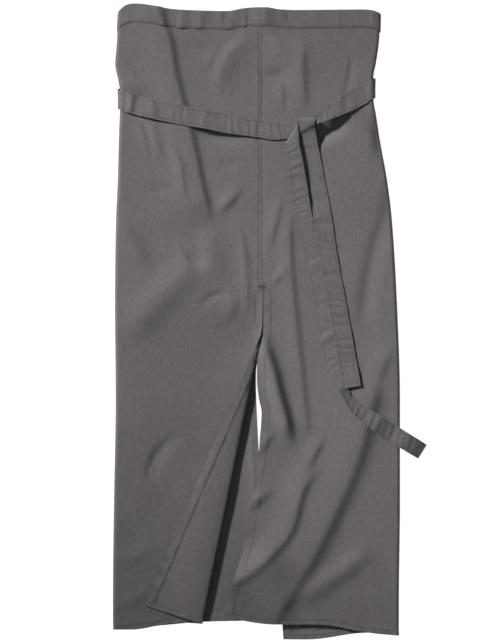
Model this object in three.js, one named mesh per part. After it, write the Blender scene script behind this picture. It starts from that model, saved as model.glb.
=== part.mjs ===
import * as THREE from "three";

// A long split-leg apron laid out flat on its back. Sizes are millimetres.
// X runs across the apron, Y runs up to the waist and Z rises from the surface it lies on.

// Cloth walls and hems
const CLOTH = 1.0;
const HEM = 1.8;
const BOTTOM_HEM_WIDTH = 8;
const SPLIT_HEM_WIDTH = 12;
const SEAM_WIDTH = 7;
const BACK_HEM_WIDTH = 10;
const HEM_STEP = 1.2;

// Levels and the centre-front seam
const WAIST_LEVEL = 443;
const HEM_LEVEL = -430;
const WAIST_FADE = 170;
const HEM_FADE = 260;
const SEAM_X = -10.6;
const SEAM_GAP = 0.3;
const SPLIT_TOP = 51;
const SPLIT_FADE = 95;

// Waistband
const BAND_HEIGHT = 26;
const BAND_PLY = 1.0;
const BAND_SLOT = 2.4;
const BAND_TOP = 2.2;
const BAND_ROUND = 1.4;
const TUCK_IN = 3.2;
const BAND_COVER = 2;
const BACK_WAIST_DROP = 3;

// Ties
const TIE_WIDTH = 27;
const TIE_THICKNESS = 1.2;
const SIDE_GAP = 1.8;

// Turned-back flap of the left panel
const FLAP_RADIUS = 4.5;
const FLAP_LEAN = THREE.MathUtils.degToRad(11.6);
const FLAP_APEX_Y = -10.6;
const FLAP_SETTLE = 55;
const FLAP_REST = 3.0;
const FLAP_STRIP = 27;

// How the front sinks towards the split edges, and how much calmer its folds are there
const EDGE_HEIGHT = { left: 7, right: 7 };
const EDGE_CALM = { left: 1, right: 0.5 };
const DROOP_WIDTH = 75;
const SIDE_DEPTH = 4;

// Folds: the length over which one rises and dies away, and the narrowest side that the mesh can carry
const TAPER_LENGTH = 45;
const TAPER_SHARE = 0.5;
const NARROWEST_FOLD = 12;

// Mesh steps
const BACK_STEPS = 2;
const SIDE_STEPS = 4;
const LEFT_FRONT_STEPS = 14;
const ROLL_STEPS = 4;
const FLAP_STEPS = 3;
const RIGHT_FRONT_STEPS = 17;
const TIE_STEP = 15;
const REST_STEP = 4;
const CREST_STEP = 12;
const PROBE = 0.5;
const SLACK = 0.01;
const NO_HEM = -1;
const FLAP_LEAST = 1.5;
const SIDE_TURNS = [-90, -45, 0, 45, 90];

// Places round a tie where the cloth under it is felt, as shares of its width or of its span
const WIDTH_PARTS = [-0.5, -0.25, 0, 0.25, 0.5];
const BRIDGE_PARTS = [-1, -0.67, -0.33, 0, 0.33, 0.67, 1];
const SMOOTH_PARTS = [-0.5, 0, 0.5];

// Cloth rows in three zones: waist to split, along the start of the flap, and down to the hem
const ROW_ZONES = [
  { to: 51, left: 14, right: 14 },
  { to: -60, left: 9, right: 4 },
  { to: -420.8, left: 12, right: 12 },
];

// Body sections from the waist down: the two side folds, and the heights of front and back cloth
const BODY = [
  { y: 460, left: -213, right: 157, front: 18.0, back: 6.0 },
  { y: 437, left: -215.5, right: 156, front: 18.0, back: 6.0 },
  { y: 403, left: -217, right: 154.5, front: 17.5, back: 6.0 },
  { y: 369, left: -219.5, right: 150, front: 17.5, back: 6.0 },
  { y: 349, left: -216, right: 146.5, front: 17.0, back: 5.8 },
  { y: 328, left: -212.5, right: 146.5, front: 17.0, back: 5.4 },
  { y: 312, left: -212, right: 147, front: 17.3, back: 5.0 },
  { y: 296, left: -213, right: 150, front: 17.6, back: 4.2 },
  { y: 258, left: -214.5, right: 156, front: 17.6, back: 2.0 },
  { y: 202, left: -216, right: 166, front: 17.2, back: 0.5 },
  { y: 145, left: -218.5, right: 173, front: 16.6, back: 0.5 },
  { y: 31, left: -220, right: 180, front: 15.5, back: 0.5 },
  { y: -111, left: -219, right: 184.5, front: 13.0, back: 0.5 },
  { y: -253, left: -221.5, right: 184.5, front: 12.0, back: 0.5 },
  { y: -385, left: -223, right: 183, front: 11.8, back: 0.5 },
  { y: -420, left: -223, right: 183, front: 9.3, back: 0.5 },
  { y: -446, left: -223, right: 182.5, front: 7.7, back: 0.5 },
  { y: -460, left: -223, right: 182, front: 7.2, back: 0.5 },
];

// Top edge of the waistband across the front
const WAIST_LINE = [
  { x: -216, y: 440 },
  { x: -206, y: 449 },
  { x: -192, y: 452 },
  { x: -166, y: 449 },
  { x: -140, y: 444.5 },
  { x: -108, y: 442.5 },
  { x: -60, y: 441.5 },
  { x: -40, y: 445 },
  { x: -22, y: 446.5 },
  { x: -5, y: 446.5 },
  { x: 12, y: 444 },
  { x: 38, y: 443 },
  { x: 115, y: 443.5 },
  { x: 143, y: 443 },
  { x: 157, y: 438.5 },
];

// Bottom edges of the cloth, each from its side fold to its free edge
const FRONT_LEFT_HEM = [
  { x: -223, y: -437.5 },
  { x: -196, y: -437.5 },
  { x: -160, y: -432 },
  { x: -132, y: -428 },
  { x: -100, y: -429 },
  { x: -10, y: -437 },
];
const BACK_LEFT_HEM = [
  { x: -223, y: -437.5 },
  { x: -185, y: -435 },
  { x: -104, y: -427.5 },
  { x: -40, y: -425.5 },
  { x: -4, y: -424.5 },
];
const FRONT_RIGHT_HEM = [
  { x: -64, y: -417 },
  { x: -44, y: -423 },
  { x: -11, y: -428.5 },
  { x: 17, y: -430 },
  { x: 81, y: -431 },
  { x: 121, y: -438.5 },
  { x: 149, y: -443 },
  { x: 183, y: -446 },
];
const BACK_RIGHT_HEM = [
  { x: 20, y: -452 },
  { x: 67, y: -451.5 },
  { x: 121, y: -443.5 },
  { x: 143, y: -442.5 },
  { x: 183, y: -446 },
];

// Free edges of the panels: both back edges, and the split edge of the right panel
const BACK_EDGES = [
  { y: 460, left: -48, right: -25 },
  { y: 120, left: -20, right: -4 },
  { y: 40, left: -6, right: 6 },
  { y: -15, left: -5.5, right: 7 },
  { y: -42, left: -14, right: 4 },
  { y: -58, left: -18.2, right: 3 },
  { y: -75, left: -20, right: 2 },
  { y: -110, left: -19.5, right: 1 },
  { y: -460, left: -2.5, right: 21 },
];
const RIGHT_SPLIT_EDGE = [
  { y: 60, x: -10.4 },
  { y: 31, x: -9.8 },
  { y: -11, x: -9.6 },
  { y: -51, x: -17.5 },
  { y: -82, x: -18.5 },
  { y: -110, x: -15.5 },
  { y: -128, x: -12 },
  { y: -167, x: -14.5 },
  { y: -189, x: -16.5 },
  { y: -243, x: -24.5 },
  { y: -287, x: -31 },
  { y: -331, x: -39.5 },
  { y: -363, x: -48.5 },
  { y: -417, x: -63 },
  { y: -440, x: -67 },
];

// Folds of the front: how far each rises (a valley is negative), its width to the left and right of someone
// walking along it, and points on its crest from first to last
const FOLDS = [
  { name: "tuck from the waistband down past the left tie", rise: 5.5, left: 6, right: 42, crest: [
    [-157, 430], [-146, 405], [-138, 361], [-125, 305], [-109, 244], [-97, 185], [-82, 132],
  ] },
  { name: "seam bulge at the band", rise: 2.5, left: 6, right: 14, crest: [
    [-11, 454], [-10, 432], [-10, 400],
  ] },
  { name: "slanting ridge right of the seam", rise: 2.5, left: 8, right: 12, crest: [
    [-9, 415], [14, 390], [34, 361],
  ] },
  { name: "upright ridge above the knot", rise: 3.8, left: 8, right: 18, crest: [
    [44, 412], [44, 372], [45, 337], [51, 290],
  ] },
  { name: "slanting ridge left of the seam", rise: 3, left: 16, right: 9, crest: [
    [-20, 419], [-43, 395], [-61, 375], [-72, 346], [-75, 312],
  ] },
  { name: "crease above the left tie", rise: 3.6, left: 4, right: 9, crest: [
    [-224, 356], [-202, 338], [-190, 328], [-176, 311],
  ] },
  { name: "second small fold", rise: 2.5, left: 7, right: 8, crest: [
    [-173, 295], [-163, 258], [-153, 219],
  ] },
  { name: "crease that meets the tuck", rise: 3.4, left: 6, right: 9, crest: [
    [-37, 196], [-61, 169], [-82, 148],
  ] },
  { name: "broad slope below the tuck", rise: 3, left: 20, right: 12, crest: [
    [-82, 142], [-87, 95], [-78, 43],
  ] },
  { name: "hip fold", rise: 4, left: 12, right: 16, crest: [
    [-230, 158], [-203, 125], [-189, 104], [-162, 72],
  ] },
  { name: "broad ridge across the left thigh", rise: 5.5, left: 22, right: 24, crest: [
    [-94, 92], [-131, 58], [-168, 21], [-216, -27],
  ] },
  { name: "edge of the swell under the arch", rise: 2.4, left: 8, right: 12, crest: [
    [-54, 43], [-55, 20], [-68, -6],
  ] },
  { name: "ridge right of the seam", rise: 2.6, left: 6, right: 9, crest: [
    [17, 187], [6, 139], [-7, 92],
  ] },
  { name: "long upright ridge beside the tails", rise: 2.8, left: 6, right: 14, crest: [
    [27, 166], [27, 102], [31, 45], [36, -4], [41, -54], [47, -111], [53, -175],
  ] },
  { name: "ridge from the split", rise: 12, left: 9, right: 12, crest: [
    [-13, -6], [-6, -40], [3, -71], [11, -104], [20, -136], [30, -182],
  ] },
  { name: "right hip trough", rise: -2.8, left: 14, right: 10, crest: [
    [172, 216], [165, 148], [152, 114], [142, 74], [135, 31], [129, -18],
  ] },
  { name: "crease in the right side", rise: -7, left: 9, right: 9, crest: [
    [152, 304], [156, 261], [163, 213],
  ] },
  { name: "short ridge on the right leg", rise: 3.8, left: 6, right: 12, crest: [
    [81, -153], [64, -183], [47, -216],
  ] },
  { name: "curved fold on the right leg", rise: 6, left: 8, right: 56, crest: [
    [74, -204], [50, -227], [40, -253], [34, -278], [23, -304], [4, -325], [-20, -348], [-48, -368],
    [-80, -392],
  ] },
  { name: "lower end of the curved fold", rise: 8, left: 13, right: 14, crest: [
    [21, -311], [-11, -344], [-43, -366], [-91, -398],
  ] },
  { name: "upper end of the long fold", rise: 3.2, left: 8, right: 22, crest: [
    [176, -26], [166, -46], [154, -72], [147, -98],
  ] },
  { name: "long fold from the hip to the split hem", rise: 8.5, left: 10, right: 50, crest: [
    [152, -70], [146, -94], [138, -125], [128, -170], [108, -227], [82, -284], [53, -341], [27, -383],
    [-6, -435],
  ] },
  { name: "low swell above the right hem", rise: 5.5, left: 14, right: 14, crest: [
    [151, -317], [106, -351], [74, -373], [28, -405],
  ] },
  { name: "upper crease at the split hem", rise: 5, left: 5, right: 7, crest: [
    [10, -148], [-10, -173], [-26, -197],
  ] },
  { name: "lower crease at the split hem", rise: 6, left: 5, right: 9, crest: [
    [9, -234], [-16, -250], [-38, -268],
  ] },
  { name: "hollow under the left tie", rise: -4, left: 9, right: 8, crest: [
    [-114, 268], [-78, 263], [-21, 253],
  ] },
  { name: "hollow under the right tie", rise: -4, left: 14, right: 14, crest: [
    [38, 250], [78, 266], [119, 287],
  ] },
];

// Left tie from the band end at the right back: it crosses to the left side, comes over the front, loops
// up behind the right tie and over it, and drops as the shorter tail. Rest 1 counts the lift from the front cloth
// and rest 0 from the floor. Span is how far the tie bridges, so that it lies on the highest cloth within
// that reach. Across is the bearing from the lower edge of the tie to its upper edge.
const LEFT_TIE_BACK = [
  { x: 16, y: 425, rest: 0, span: 0, lift: 2.75, width: 27, across: 91, tilt: 0 },
  { x: 2, y: 425, rest: 0, span: 0, lift: 2.75, width: 27, across: 95, tilt: 0 },
  { x: -14, y: 419, rest: 0, span: 0, lift: 2.75, width: 27, across: 109, tilt: 0 },
  { x: -38, y: 405, rest: 0, span: 0, lift: 2.75, width: 27, across: 119, tilt: 0 },
  { x: -64, y: 390.5, rest: 0, span: 0, lift: 2.75, width: 27, across: 119, tilt: 0 },
  { x: -94, y: 374.5, rest: 0, span: 0, lift: 0.9, width: 27, across: 117, tilt: 0 },
  { x: -150, y: 347, rest: 0, span: 0, lift: 0.9, width: 27, across: 116, tilt: 0 },
  { x: -188, y: 329, rest: 0, span: 0, lift: 1.6, width: 27, across: 110, tilt: 0 },
];
const LEFT_TIE_FRONT = [
  { x: -195, y: 309, rest: 1, span: 30, lift: 1.9, width: 27, across: 78, tilt: 0 },
  { x: -172, y: 303, rest: 1, span: 45, lift: 1.8, width: 27, across: 78, tilt: 0 },
  { x: -121, y: 292.5, rest: 1, span: 60, lift: 1.8, width: 27, across: 79, tilt: 0 },
  { x: -91, y: 287.5, rest: 1, span: 60, lift: 1.4, width: 27, across: 79, tilt: 0 },
  { x: -58, y: 280.5, rest: 1, span: 60, lift: 0.2, width: 26, across: 80, tilt: 0 },
  { x: -14, y: 274, rest: 1, span: 50, lift: 1.2, width: 25, across: 81, tilt: 0 },
  { x: 7, y: 270.5, rest: 1, span: 40, lift: 1.6, width: 24, across: 86, tilt: 0 },
  { x: 21, y: 270.5, rest: 1, span: 30, lift: 1.6, width: 22, across: 97, tilt: 0 },
  { x: 36, y: 273.5, rest: 1, span: 20, lift: 1.6, width: 21, across: 128, tilt: 0 },
  { x: 46, y: 279, rest: 1, span: 20, lift: 1.6, width: 21, across: 155, tilt: 0 },
  { x: 51.5, y: 284.5, rest: 1, span: 20, lift: 1.7, width: 22, across: 172, tilt: 0 },
  { x: 52.6, y: 289.6, rest: 1, span: 20, lift: 4.5, width: 21.5, across: 180, tilt: 0 },
  { x: 52.6, y: 285.5, rest: 1, span: 20, lift: 7.2, width: 21.5, across: 180, tilt: 0 },
  { x: 52.5, y: 279, rest: 1, span: 20, lift: 7.4, width: 21.5, across: 188, tilt: 0 },
  { x: 52.6, y: 275.4, rest: 1, span: 20, lift: 7, width: 22, across: 201, tilt: 0 },
  { x: 52.8, y: 272.6, rest: 1, span: 20, lift: 5.2, width: 22.5, across: 205, tilt: 0 },
  { x: 53.2, y: 268.5, rest: 1, span: 20, lift: 3.5, width: 23, across: 201, tilt: 0 },
  { x: 54.5, y: 258, rest: 1, span: 20, lift: 2.7, width: 24, across: 190, tilt: 0 },
  { x: 56, y: 246, rest: 1, span: 16, lift: 2.1, width: 25, across: 187, tilt: 0 },
  { x: 59, y: 230, rest: 1, span: 16, lift: 1.8, width: 26, across: 189, tilt: 0 },
  { x: 63, y: 209, rest: 1, span: 16, lift: 1.6, width: 26, across: 190, tilt: 0 },
  { x: 70, y: 173, rest: 1, span: 16, lift: 1.8, width: 26, across: 190, tilt: 0 },
  { x: 76, y: 138, rest: 1, span: 16, lift: 2.4, width: 26, across: 190, tilt: 5 },
  { x: 82, y: 97, rest: 1, span: 16, lift: 2.4, width: 26, across: 190, tilt: 5 },
  { x: 93, y: 37, rest: 1, span: 16, lift: 2.2, width: 26, across: 190, tilt: 5 },
  { x: 107, y: -40, rest: 1, span: 16, lift: 2.4, width: 26, across: 190, tilt: 5 },
  { x: 116, y: -92.5, rest: 1, span: 16, lift: 4, width: 26, across: 190, tilt: 5 },
];

// Right tie from the band end at the left back: round the right side, through the knot, folded down and
// out to the longer tail
const RIGHT_TIE_BACK = [
  { x: -94, y: 425, rest: 0, span: 0, lift: 2.75, width: 27, across: 89, tilt: 0 },
  { x: -80, y: 425, rest: 0, span: 0, lift: 2.75, width: 27, across: 85, tilt: 0 },
  { x: -64, y: 421, rest: 0, span: 0, lift: 1.1, width: 27, across: 73, tilt: 0 },
  { x: -46, y: 414, rest: 0, span: 0, lift: 0.85, width: 27, across: 66, tilt: 0 },
  { x: -20, y: 402, rest: 0, span: 0, lift: 0.85, width: 27, across: 64, tilt: 0 },
  { x: 50, y: 370, rest: 0, span: 0, lift: 0.85, width: 27, across: 65, tilt: 0 },
  { x: 122, y: 340, rest: 0, span: 0, lift: 1.6, width: 27, across: 70, tilt: 0 },
];
const RIGHT_TIE_FRONT = [
  { x: 132, y: 323, rest: 1, span: 20, lift: 1.6, width: 27, across: 117, tilt: 0 },
  { x: 121, y: 317, rest: 1, span: 20, lift: 2.6, width: 27, across: 118, tilt: 0 },
  { x: 103, y: 306.5, rest: 1, span: 20, lift: 6, width: 23, across: 118, tilt: 0 },
  { x: 82, y: 294.5, rest: 1, span: 20, lift: 7.4, width: 16, across: 116, tilt: 0 },
  { x: 67, y: 283.6, rest: 1, span: 20, lift: 5, width: 6.5, across: 113, tilt: 0 },
  { x: 53, y: 280.6, rest: 1, span: 20, lift: 4.5, width: 7, across: 112, tilt: 0 },
  { x: 45, y: 278, rest: 1, span: 20, lift: 4.5, width: 9, across: 103, tilt: 0 },
  { x: 33, y: 267, rest: 1, span: 20, lift: 4.5, width: 31, across: 60, tilt: 0 },
  { x: 30.5, y: 266.5, rest: 1, span: 20, lift: 6.4, width: 32, across: 57, tilt: 0 },
  { x: 31.5, y: 263, rest: 1, span: 20, lift: 8.4, width: 28, across: 56, tilt: 0 },
  { x: 32, y: 249, rest: 1, span: 20, lift: 8.4, width: 20, across: 17, tilt: 0 },
  { x: 35.5, y: 230, rest: 1, span: 16, lift: 8, width: 21, across: 8, tilt: 0 },
  { x: 41.5, y: 187, rest: 1, span: 16, lift: 6, width: 24, across: 8, tilt: 0 },
  { x: 51.5, y: 131, rest: 1, span: 16, lift: 2, width: 24, across: 11, tilt: 0 },
  { x: 71, y: 50, rest: 1, span: 16, lift: 1.5, width: 25, across: 12, tilt: 0 },
  { x: 84, y: -30, rest: 1, span: 16, lift: 1.5, width: 25, across: 11, tilt: 0 },
  { x: 89.5, y: -58, rest: 1, span: 16, lift: 1.5, width: 24, across: 14, tilt: -4 },
  { x: 96.5, y: -80, rest: 1, span: 16, lift: 1.5, width: 21, across: 22, tilt: -12 },
  { x: 109, y: -106, rest: 1, span: 16, lift: 1.5, width: 15, across: 34, tilt: -34 },
  { x: 123.5, y: -123, rest: 1, span: 16, lift: 1.5, width: 19, across: 46, tilt: -16 },
  { x: 146, y: -140, rest: 1, span: 16, lift: 1.5, width: 23, across: 54, tilt: -3 },
  { x: 168, y: -154, rest: 1, span: 16, lift: 1.5, width: 24, across: 57, tilt: 0 },
  { x: 186, y: -165.5, rest: 0, span: 16, lift: 15.4, width: 24, across: 57, tilt: 0 },
  { x: 204, y: -176.5, rest: 0, span: 16, lift: 10.5, width: 24, across: 57, tilt: 0 },
  { x: 217, y: -184.5, rest: 0, span: 16, lift: 5.0, width: 23, across: 58, tilt: 0 },
];

// Where each tie goes round its side fold: its level underneath and on top
const SIDE_CROSSING = { left: { below: 321, above: 313 }, right: { below: 335, above: 329 } };

// Finishes of the grey twill
const PANEL_COLOUR = 0x646061;
const BAND_COLOUR = 0x605c5d;
const TIE_COLOUR = 0x686465;
const CLOTH_ROUGHNESS = 0.95;

// Smooth curve through one column of a table, level where the column turns and flat beyond its ends.
function curve(table, input, output) {
  const rows = [...table].sort((a, b) => a[input] - b[input]);
  const last = rows.length - 1;
  const slopes = rows.map((row, i) => {
    const before = rows[Math.max(i - 1, 0)];
    const after = rows[Math.min(i + 1, last)];
    const turns = (after[output] - row[output]) * (row[output] - before[output]) <= 0;
    const inside = i > 0 && i < last;
    return inside && turns ? 0 : (after[output] - before[output]) / (after[input] - before[input]);
  });
  return (at) => {
    if (at <= rows[0][input]) return rows[0][output];
    if (at >= rows[last][input]) return rows[last][output];
    let i = 0;
    while (rows[i + 1][input] < at) i += 1;
    const span = rows[i + 1][input] - rows[i][input];
    const t = (at - rows[i][input]) / span;
    const t2 = t * t;
    const t3 = t2 * t;
    const start = (2 * t3 - 3 * t2 + 1) * rows[i][output] + (t3 - 2 * t2 + t) * span * slopes[i];
    const end = (3 * t2 - 2 * t3) * rows[i + 1][output] + (t3 - t2) * span * slopes[i + 1];
    return start + end;
  };
}

function ease(value) {
  const t = Math.min(Math.max(value, 0), 1);
  return t * t * (3 - 2 * t);
}

const mix = THREE.MathUtils.lerp;

const sideX = { left: curve(BODY, "y", "left"), right: curve(BODY, "y", "right") };
const frontLevel = curve(BODY, "y", "front");
const backLevel = curve(BODY, "y", "back");
const backEdge = { left: curve(BACK_EDGES, "y", "left"), right: curve(BACK_EDGES, "y", "right") };
const waistLine = curve(WAIST_LINE, "x", "y");
const frontHem = { left: curve(FRONT_LEFT_HEM, "x", "y"), right: curve(FRONT_RIGHT_HEM, "x", "y") };
const backHem = { left: curve(BACK_LEFT_HEM, "x", "y"), right: curve(BACK_RIGHT_HEM, "x", "y") };
const rightSplitEdge = curve(RIGHT_SPLIT_EDGE, "y", "x");

// Inner edge of each front: the seam above the split, and the flat, unfolded split edge below it.
function innerEdge(side, y) {
  if (side === "left") return SEAM_X - SEAM_GAP / 2;
  if (y > SPLIT_TOP) return SEAM_X + SEAM_GAP / 2;
  return rightSplitEdge(y);
}

// Line where the left panel starts to roll over into its flap.
function bendX(y) {
  const reflection = SEAM_X + Math.tan(FLAP_LEAN) * (y - FLAP_APEX_Y);
  return reflection - (Math.PI * FLAP_RADIUS) / 2 / Math.cos(FLAP_LEAN);
}

// Smooth line through the crest points of a fold, in short steps.
function smoothLine(points) {
  let run = 0;
  const rows = points.map(([x, y], i) => {
    if (i > 0) run += Math.hypot(x - points[i - 1][0], y - points[i - 1][1]);
    return { run, x, y };
  });
  const xAt = curve(rows, "run", "x");
  const yAt = curve(rows, "run", "y");
  const steps = Math.ceil(run / CREST_STEP);
  const line = [];
  for (let i = 0; i <= steps; i += 1) line.push([xAt((run * i) / steps), yAt((run * i) / steps)]);
  return { line, share: Math.min(TAPER_SHARE, TAPER_LENGTH / run) };
}

const folds = FOLDS.map((fold) => ({ ...fold, ...smoothLine(fold.crest) }));

// Nearest place on a crest line: how far off it is, to which side, and how far along the line.
function nearestOnCrest(line, x, y) {
  const legs = line.length - 1;
  let nearest = { distance: Infinity };
  for (let leg = 0; leg < legs; leg += 1) {
    const [ax, ay] = line[leg];
    const [bx, by] = line[leg + 1];
    const dx = bx - ax;
    const dy = by - ay;
    const t = Math.min(Math.max(((x - ax) * dx + (y - ay) * dy) / (dx * dx + dy * dy), 0), 1);
    const distance = Math.hypot(x - ax - t * dx, y - ay - t * dy);
    if (distance < nearest.distance) {
      nearest = { distance, toLeft: dx * (y - ay) > dy * (x - ax), along: (leg + t) / legs };
    }
  }
  return nearest;
}

// Height added by the folds at one place on the front.
function foldRelief(x, y) {
  let relief = 0;
  for (const fold of folds) {
    const { distance, toLeft, along } = nearestOnCrest(fold.line, x, y);
    const width = Math.max(toLeft ? fold.left : fold.right, NARROWEST_FOLD);
    const taper = ease(along / fold.share) * ease((1 - along) / fold.share);
    relief += fold.rise * taper * Math.exp(-((distance / width) ** 2));
  }
  return relief;
}

// Mid-surface height of the front cloth, sinking towards the split edges of the legs.
function frontHeight(side, x, y) {
  const level = frontLevel(y);
  const edge = side === "left" ? Math.min(bendX(y), innerEdge(side, y)) : innerEdge(side, y);
  const near = (1 - ease(Math.abs(x - edge) / DROOP_WIDTH)) * ease((SPLIT_TOP - y) / SPLIT_FADE);
  const relief = foldRelief(x, y) * (1 - EDGE_CALM[side] * near);
  return level + relief - (level - EDGE_HEIGHT[side]) * near;
}

// Height of the front cloth where it reaches a side fold.
function sideTop(side, y) {
  return frontHeight(side, sideX[side](y) + SIDE_DEPTH * inward(side), y);
}

// Level of a cloth row moved to follow the waist line and the hem line.
function rowY(side, x, level, front) {
  const top = ease(1 - (WAIST_LEVEL - level) / WAIST_FADE);
  const bottom = ease(1 - (level - HEM_LEVEL) / HEM_FADE);
  const hem = front * frontHem[side](x) + (1 - front) * backHem[side](x);
  const waist = waistLine(x) - (1 - front) * BACK_WAIST_DROP;
  return level + top * (waist - WAIST_LEVEL) + bottom * (hem - HEM_LEVEL);
}

// Inward direction of a side: plus one for the left side, minus one for the right.
function inward(side) {
  return side === "left" ? 1 : -1;
}

// Mid-surface of the apron. Place 0 to 1 runs along the back from its free edge to the side fold, 1 to 2
// goes round the fold, and 2 to 3 crosses the front up to its inner edge.
function bodyPoint(side, place, level) {
  const depth = SIDE_DEPTH * inward(side);
  if (place <= 1) {
    const x = mix(backEdge[side](level), sideX[side](level) + depth, place);
    const y = rowY(side, x, level, 0);
    return new THREE.Vector3(x, y, backLevel(y));
  }
  if (place < 2) {
    const angle = Math.PI * (place - 1.5);
    const x = sideX[side](level) + depth * (1 - Math.cos(angle));
    const y = rowY(side, x, level, ease(place - 1));
    const middle = (sideTop(side, y) + backLevel(y)) / 2;
    const half = (sideTop(side, y) - backLevel(y)) / 2;
    return new THREE.Vector3(x, y, middle + half * Math.sin(angle));
  }
  const start = sideX[side](level) + depth;
  const x = mix(start, innerEdge(side, level), place - 2);
  return frontPoint(side, x, level);
}

// Mid-surface of the front at a flat cloth position, rolled over where the left flap is turned back.
function frontPoint(side, x, level) {
  const y = rowY(side, x, level, 1);
  const past = (x - bendX(y)) * Math.cos(FLAP_LEAN);
  if (side === "right" || past <= 0) return new THREE.Vector3(x, y, frontHeight(side, x, y));
  const outX = Math.cos(FLAP_LEAN);
  const outY = -Math.sin(FLAP_LEAN);
  const footX = x - past * outX;
  const footY = y - past * outY;
  const turn = past / FLAP_RADIUS;
  if (turn < Math.PI) {
    const shift = FLAP_RADIUS * Math.sin(turn);
    const lift = FLAP_RADIUS * (1 - Math.cos(turn));
    const height = frontHeight(side, footX, footY) + lift;
    return new THREE.Vector3(footX + shift * outX, footY + shift * outY, height);
  }
  const back = past - Math.PI * FLAP_RADIUS;
  const lieX = footX - back * outX;
  const lieY = footY - back * outY;
  const lift = mix(2 * FLAP_RADIUS, FLAP_REST, ease(back / FLAP_SETTLE));
  return new THREE.Vector3(lieX, lieY, frontHeight(side, lieX, lieY) + lift);
}

// Collects triangles of a closed solid.
class Solid {
  constructor() {
    this.points = [];
    this.faces = [];
  }

  add(point) {
    this.points.push(point.x, point.y, point.z);
    return this.points.length / 3 - 1;
  }

  quad(a, b, c, d) {
    this.faces.push(a, b, c, a, c, d);
  }

  geometry() {
    const shape = new THREE.BufferGeometry();
    shape.setAttribute("position", new THREE.Float32BufferAttribute(this.points, 3));
    shape.setIndex(this.faces);
    shape.computeVertexNormals();
    return shape;
  }
}

// Gives a grid of mid-surface points its wall. The grid is grid[row][column] with point and wall.
function shell(grid, outward) {
  const solid = new Solid();
  const rows = grid.length;
  const columns = grid[0].length;
  const upper = [];
  const lower = [];
  for (let r = 0; r < rows; r += 1) {
    upper.push([]);
    lower.push([]);
    for (let c = 0; c < columns; c += 1) {
      const before = grid[r][Math.max(c - 1, 0)].point;
      const after = grid[r][Math.min(c + 1, columns - 1)].point;
      const above = grid[Math.max(r - 1, 0)][c].point;
      const below = grid[Math.min(r + 1, rows - 1)][c].point;
      const run = after.clone().sub(before);
      const rise = above.clone().sub(below);
      const normal = grid[r][c].normal ?? run.cross(rise).normalize().multiplyScalar(outward);
      const half = grid[r][c].wall / 2;
      upper[r].push(solid.add(grid[r][c].point.clone().addScaledVector(normal, half)));
      lower[r].push(solid.add(grid[r][c].point.clone().addScaledVector(normal, -half)));
    }
  }
  const tile = (a, b, c, d) => {
    if (outward > 0) solid.quad(a, b, c, d);
    else solid.quad(d, c, b, a);
  };
  for (let r = 0; r + 1 < rows; r += 1) {
    for (let c = 0; c + 1 < columns; c += 1) {
      tile(upper[r][c], upper[r + 1][c], upper[r + 1][c + 1], upper[r][c + 1]);
      tile(lower[r][c], lower[r][c + 1], lower[r + 1][c + 1], lower[r + 1][c]);
    }
    tile(upper[r + 1][0], upper[r][0], lower[r][0], lower[r + 1][0]);
    tile(upper[r][columns - 1], upper[r + 1][columns - 1], lower[r + 1][columns - 1], lower[r][columns - 1]);
  }
  for (let c = 0; c + 1 < columns; c += 1) {
    tile(upper[0][c], upper[0][c + 1], lower[0][c + 1], lower[0][c]);
    tile(upper[rows - 1][c + 1], upper[rows - 1][c], lower[rows - 1][c], lower[rows - 1][c + 1]);
  }
  return solid.geometry();
}

// Row levels from the waist down, closer together at the waistband and at the bottom hem.
function rowLevels(side) {
  const bandEnd = WAIST_LEVEL - BAND_HEIGHT - BAND_COVER;
  const levels = [WAIST_LEVEL - TUCK_IN, bandEnd, bandEnd - HEM_STEP];
  for (const zone of ROW_ZONES) {
    const from = levels[levels.length - 1];
    for (let r = 1; r <= zone[side]; r += 1) levels.push(mix(from, zone.to, r / zone[side]));
  }
  levels.push(HEM_LEVEL + BOTTOM_HEM_WIDTH, HEM_LEVEL);
  return levels;
}

// Wall of the cloth: one ply in the waistband, thicker in the hems.
function wallAt(level, fromBack, fromInner, innerWidth) {
  if (level >= WAIST_LEVEL - BAND_HEIGHT - BAND_COVER) return CLOTH;
  const inHem = level <= HEM_LEVEL + BOTTOM_HEM_WIDTH + SLACK;
  const inBack = fromBack <= BACK_HEM_WIDTH + SLACK;
  const inInner = fromInner <= innerWidth + SLACK;
  return inHem || inBack || inInner ? HEM : CLOTH;
}

// Columns of the back and the side fold, from the free back edge.
function backColumns(side, level) {
  const width = Math.abs(sideX[side](level) - backEdge[side](level)) - SIDE_DEPTH;
  const columns = [0, BACK_HEM_WIDTH / width];
  const first = (BACK_HEM_WIDTH + HEM_STEP) / width;
  for (let c = 0; c <= BACK_STEPS; c += 1) columns.push(mix(first, 1, c / BACK_STEPS));
  for (let c = 1; c < SIDE_STEPS; c += 1) columns.push(1 + c / SIDE_STEPS);
  return columns.map((place) => ({ place, fromBack: place * width }));
}

function backCell(side, level, column) {
  const wall = wallAt(level, column.fromBack, Infinity, 0);
  const point = bodyPoint(side, column.place, level);
  if (column.place > 1) return { point, wall };
  point.z += (wall - CLOTH) / 2;
  return { point, wall, normal: new THREE.Vector3(0, 0, -1) };
}

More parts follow.
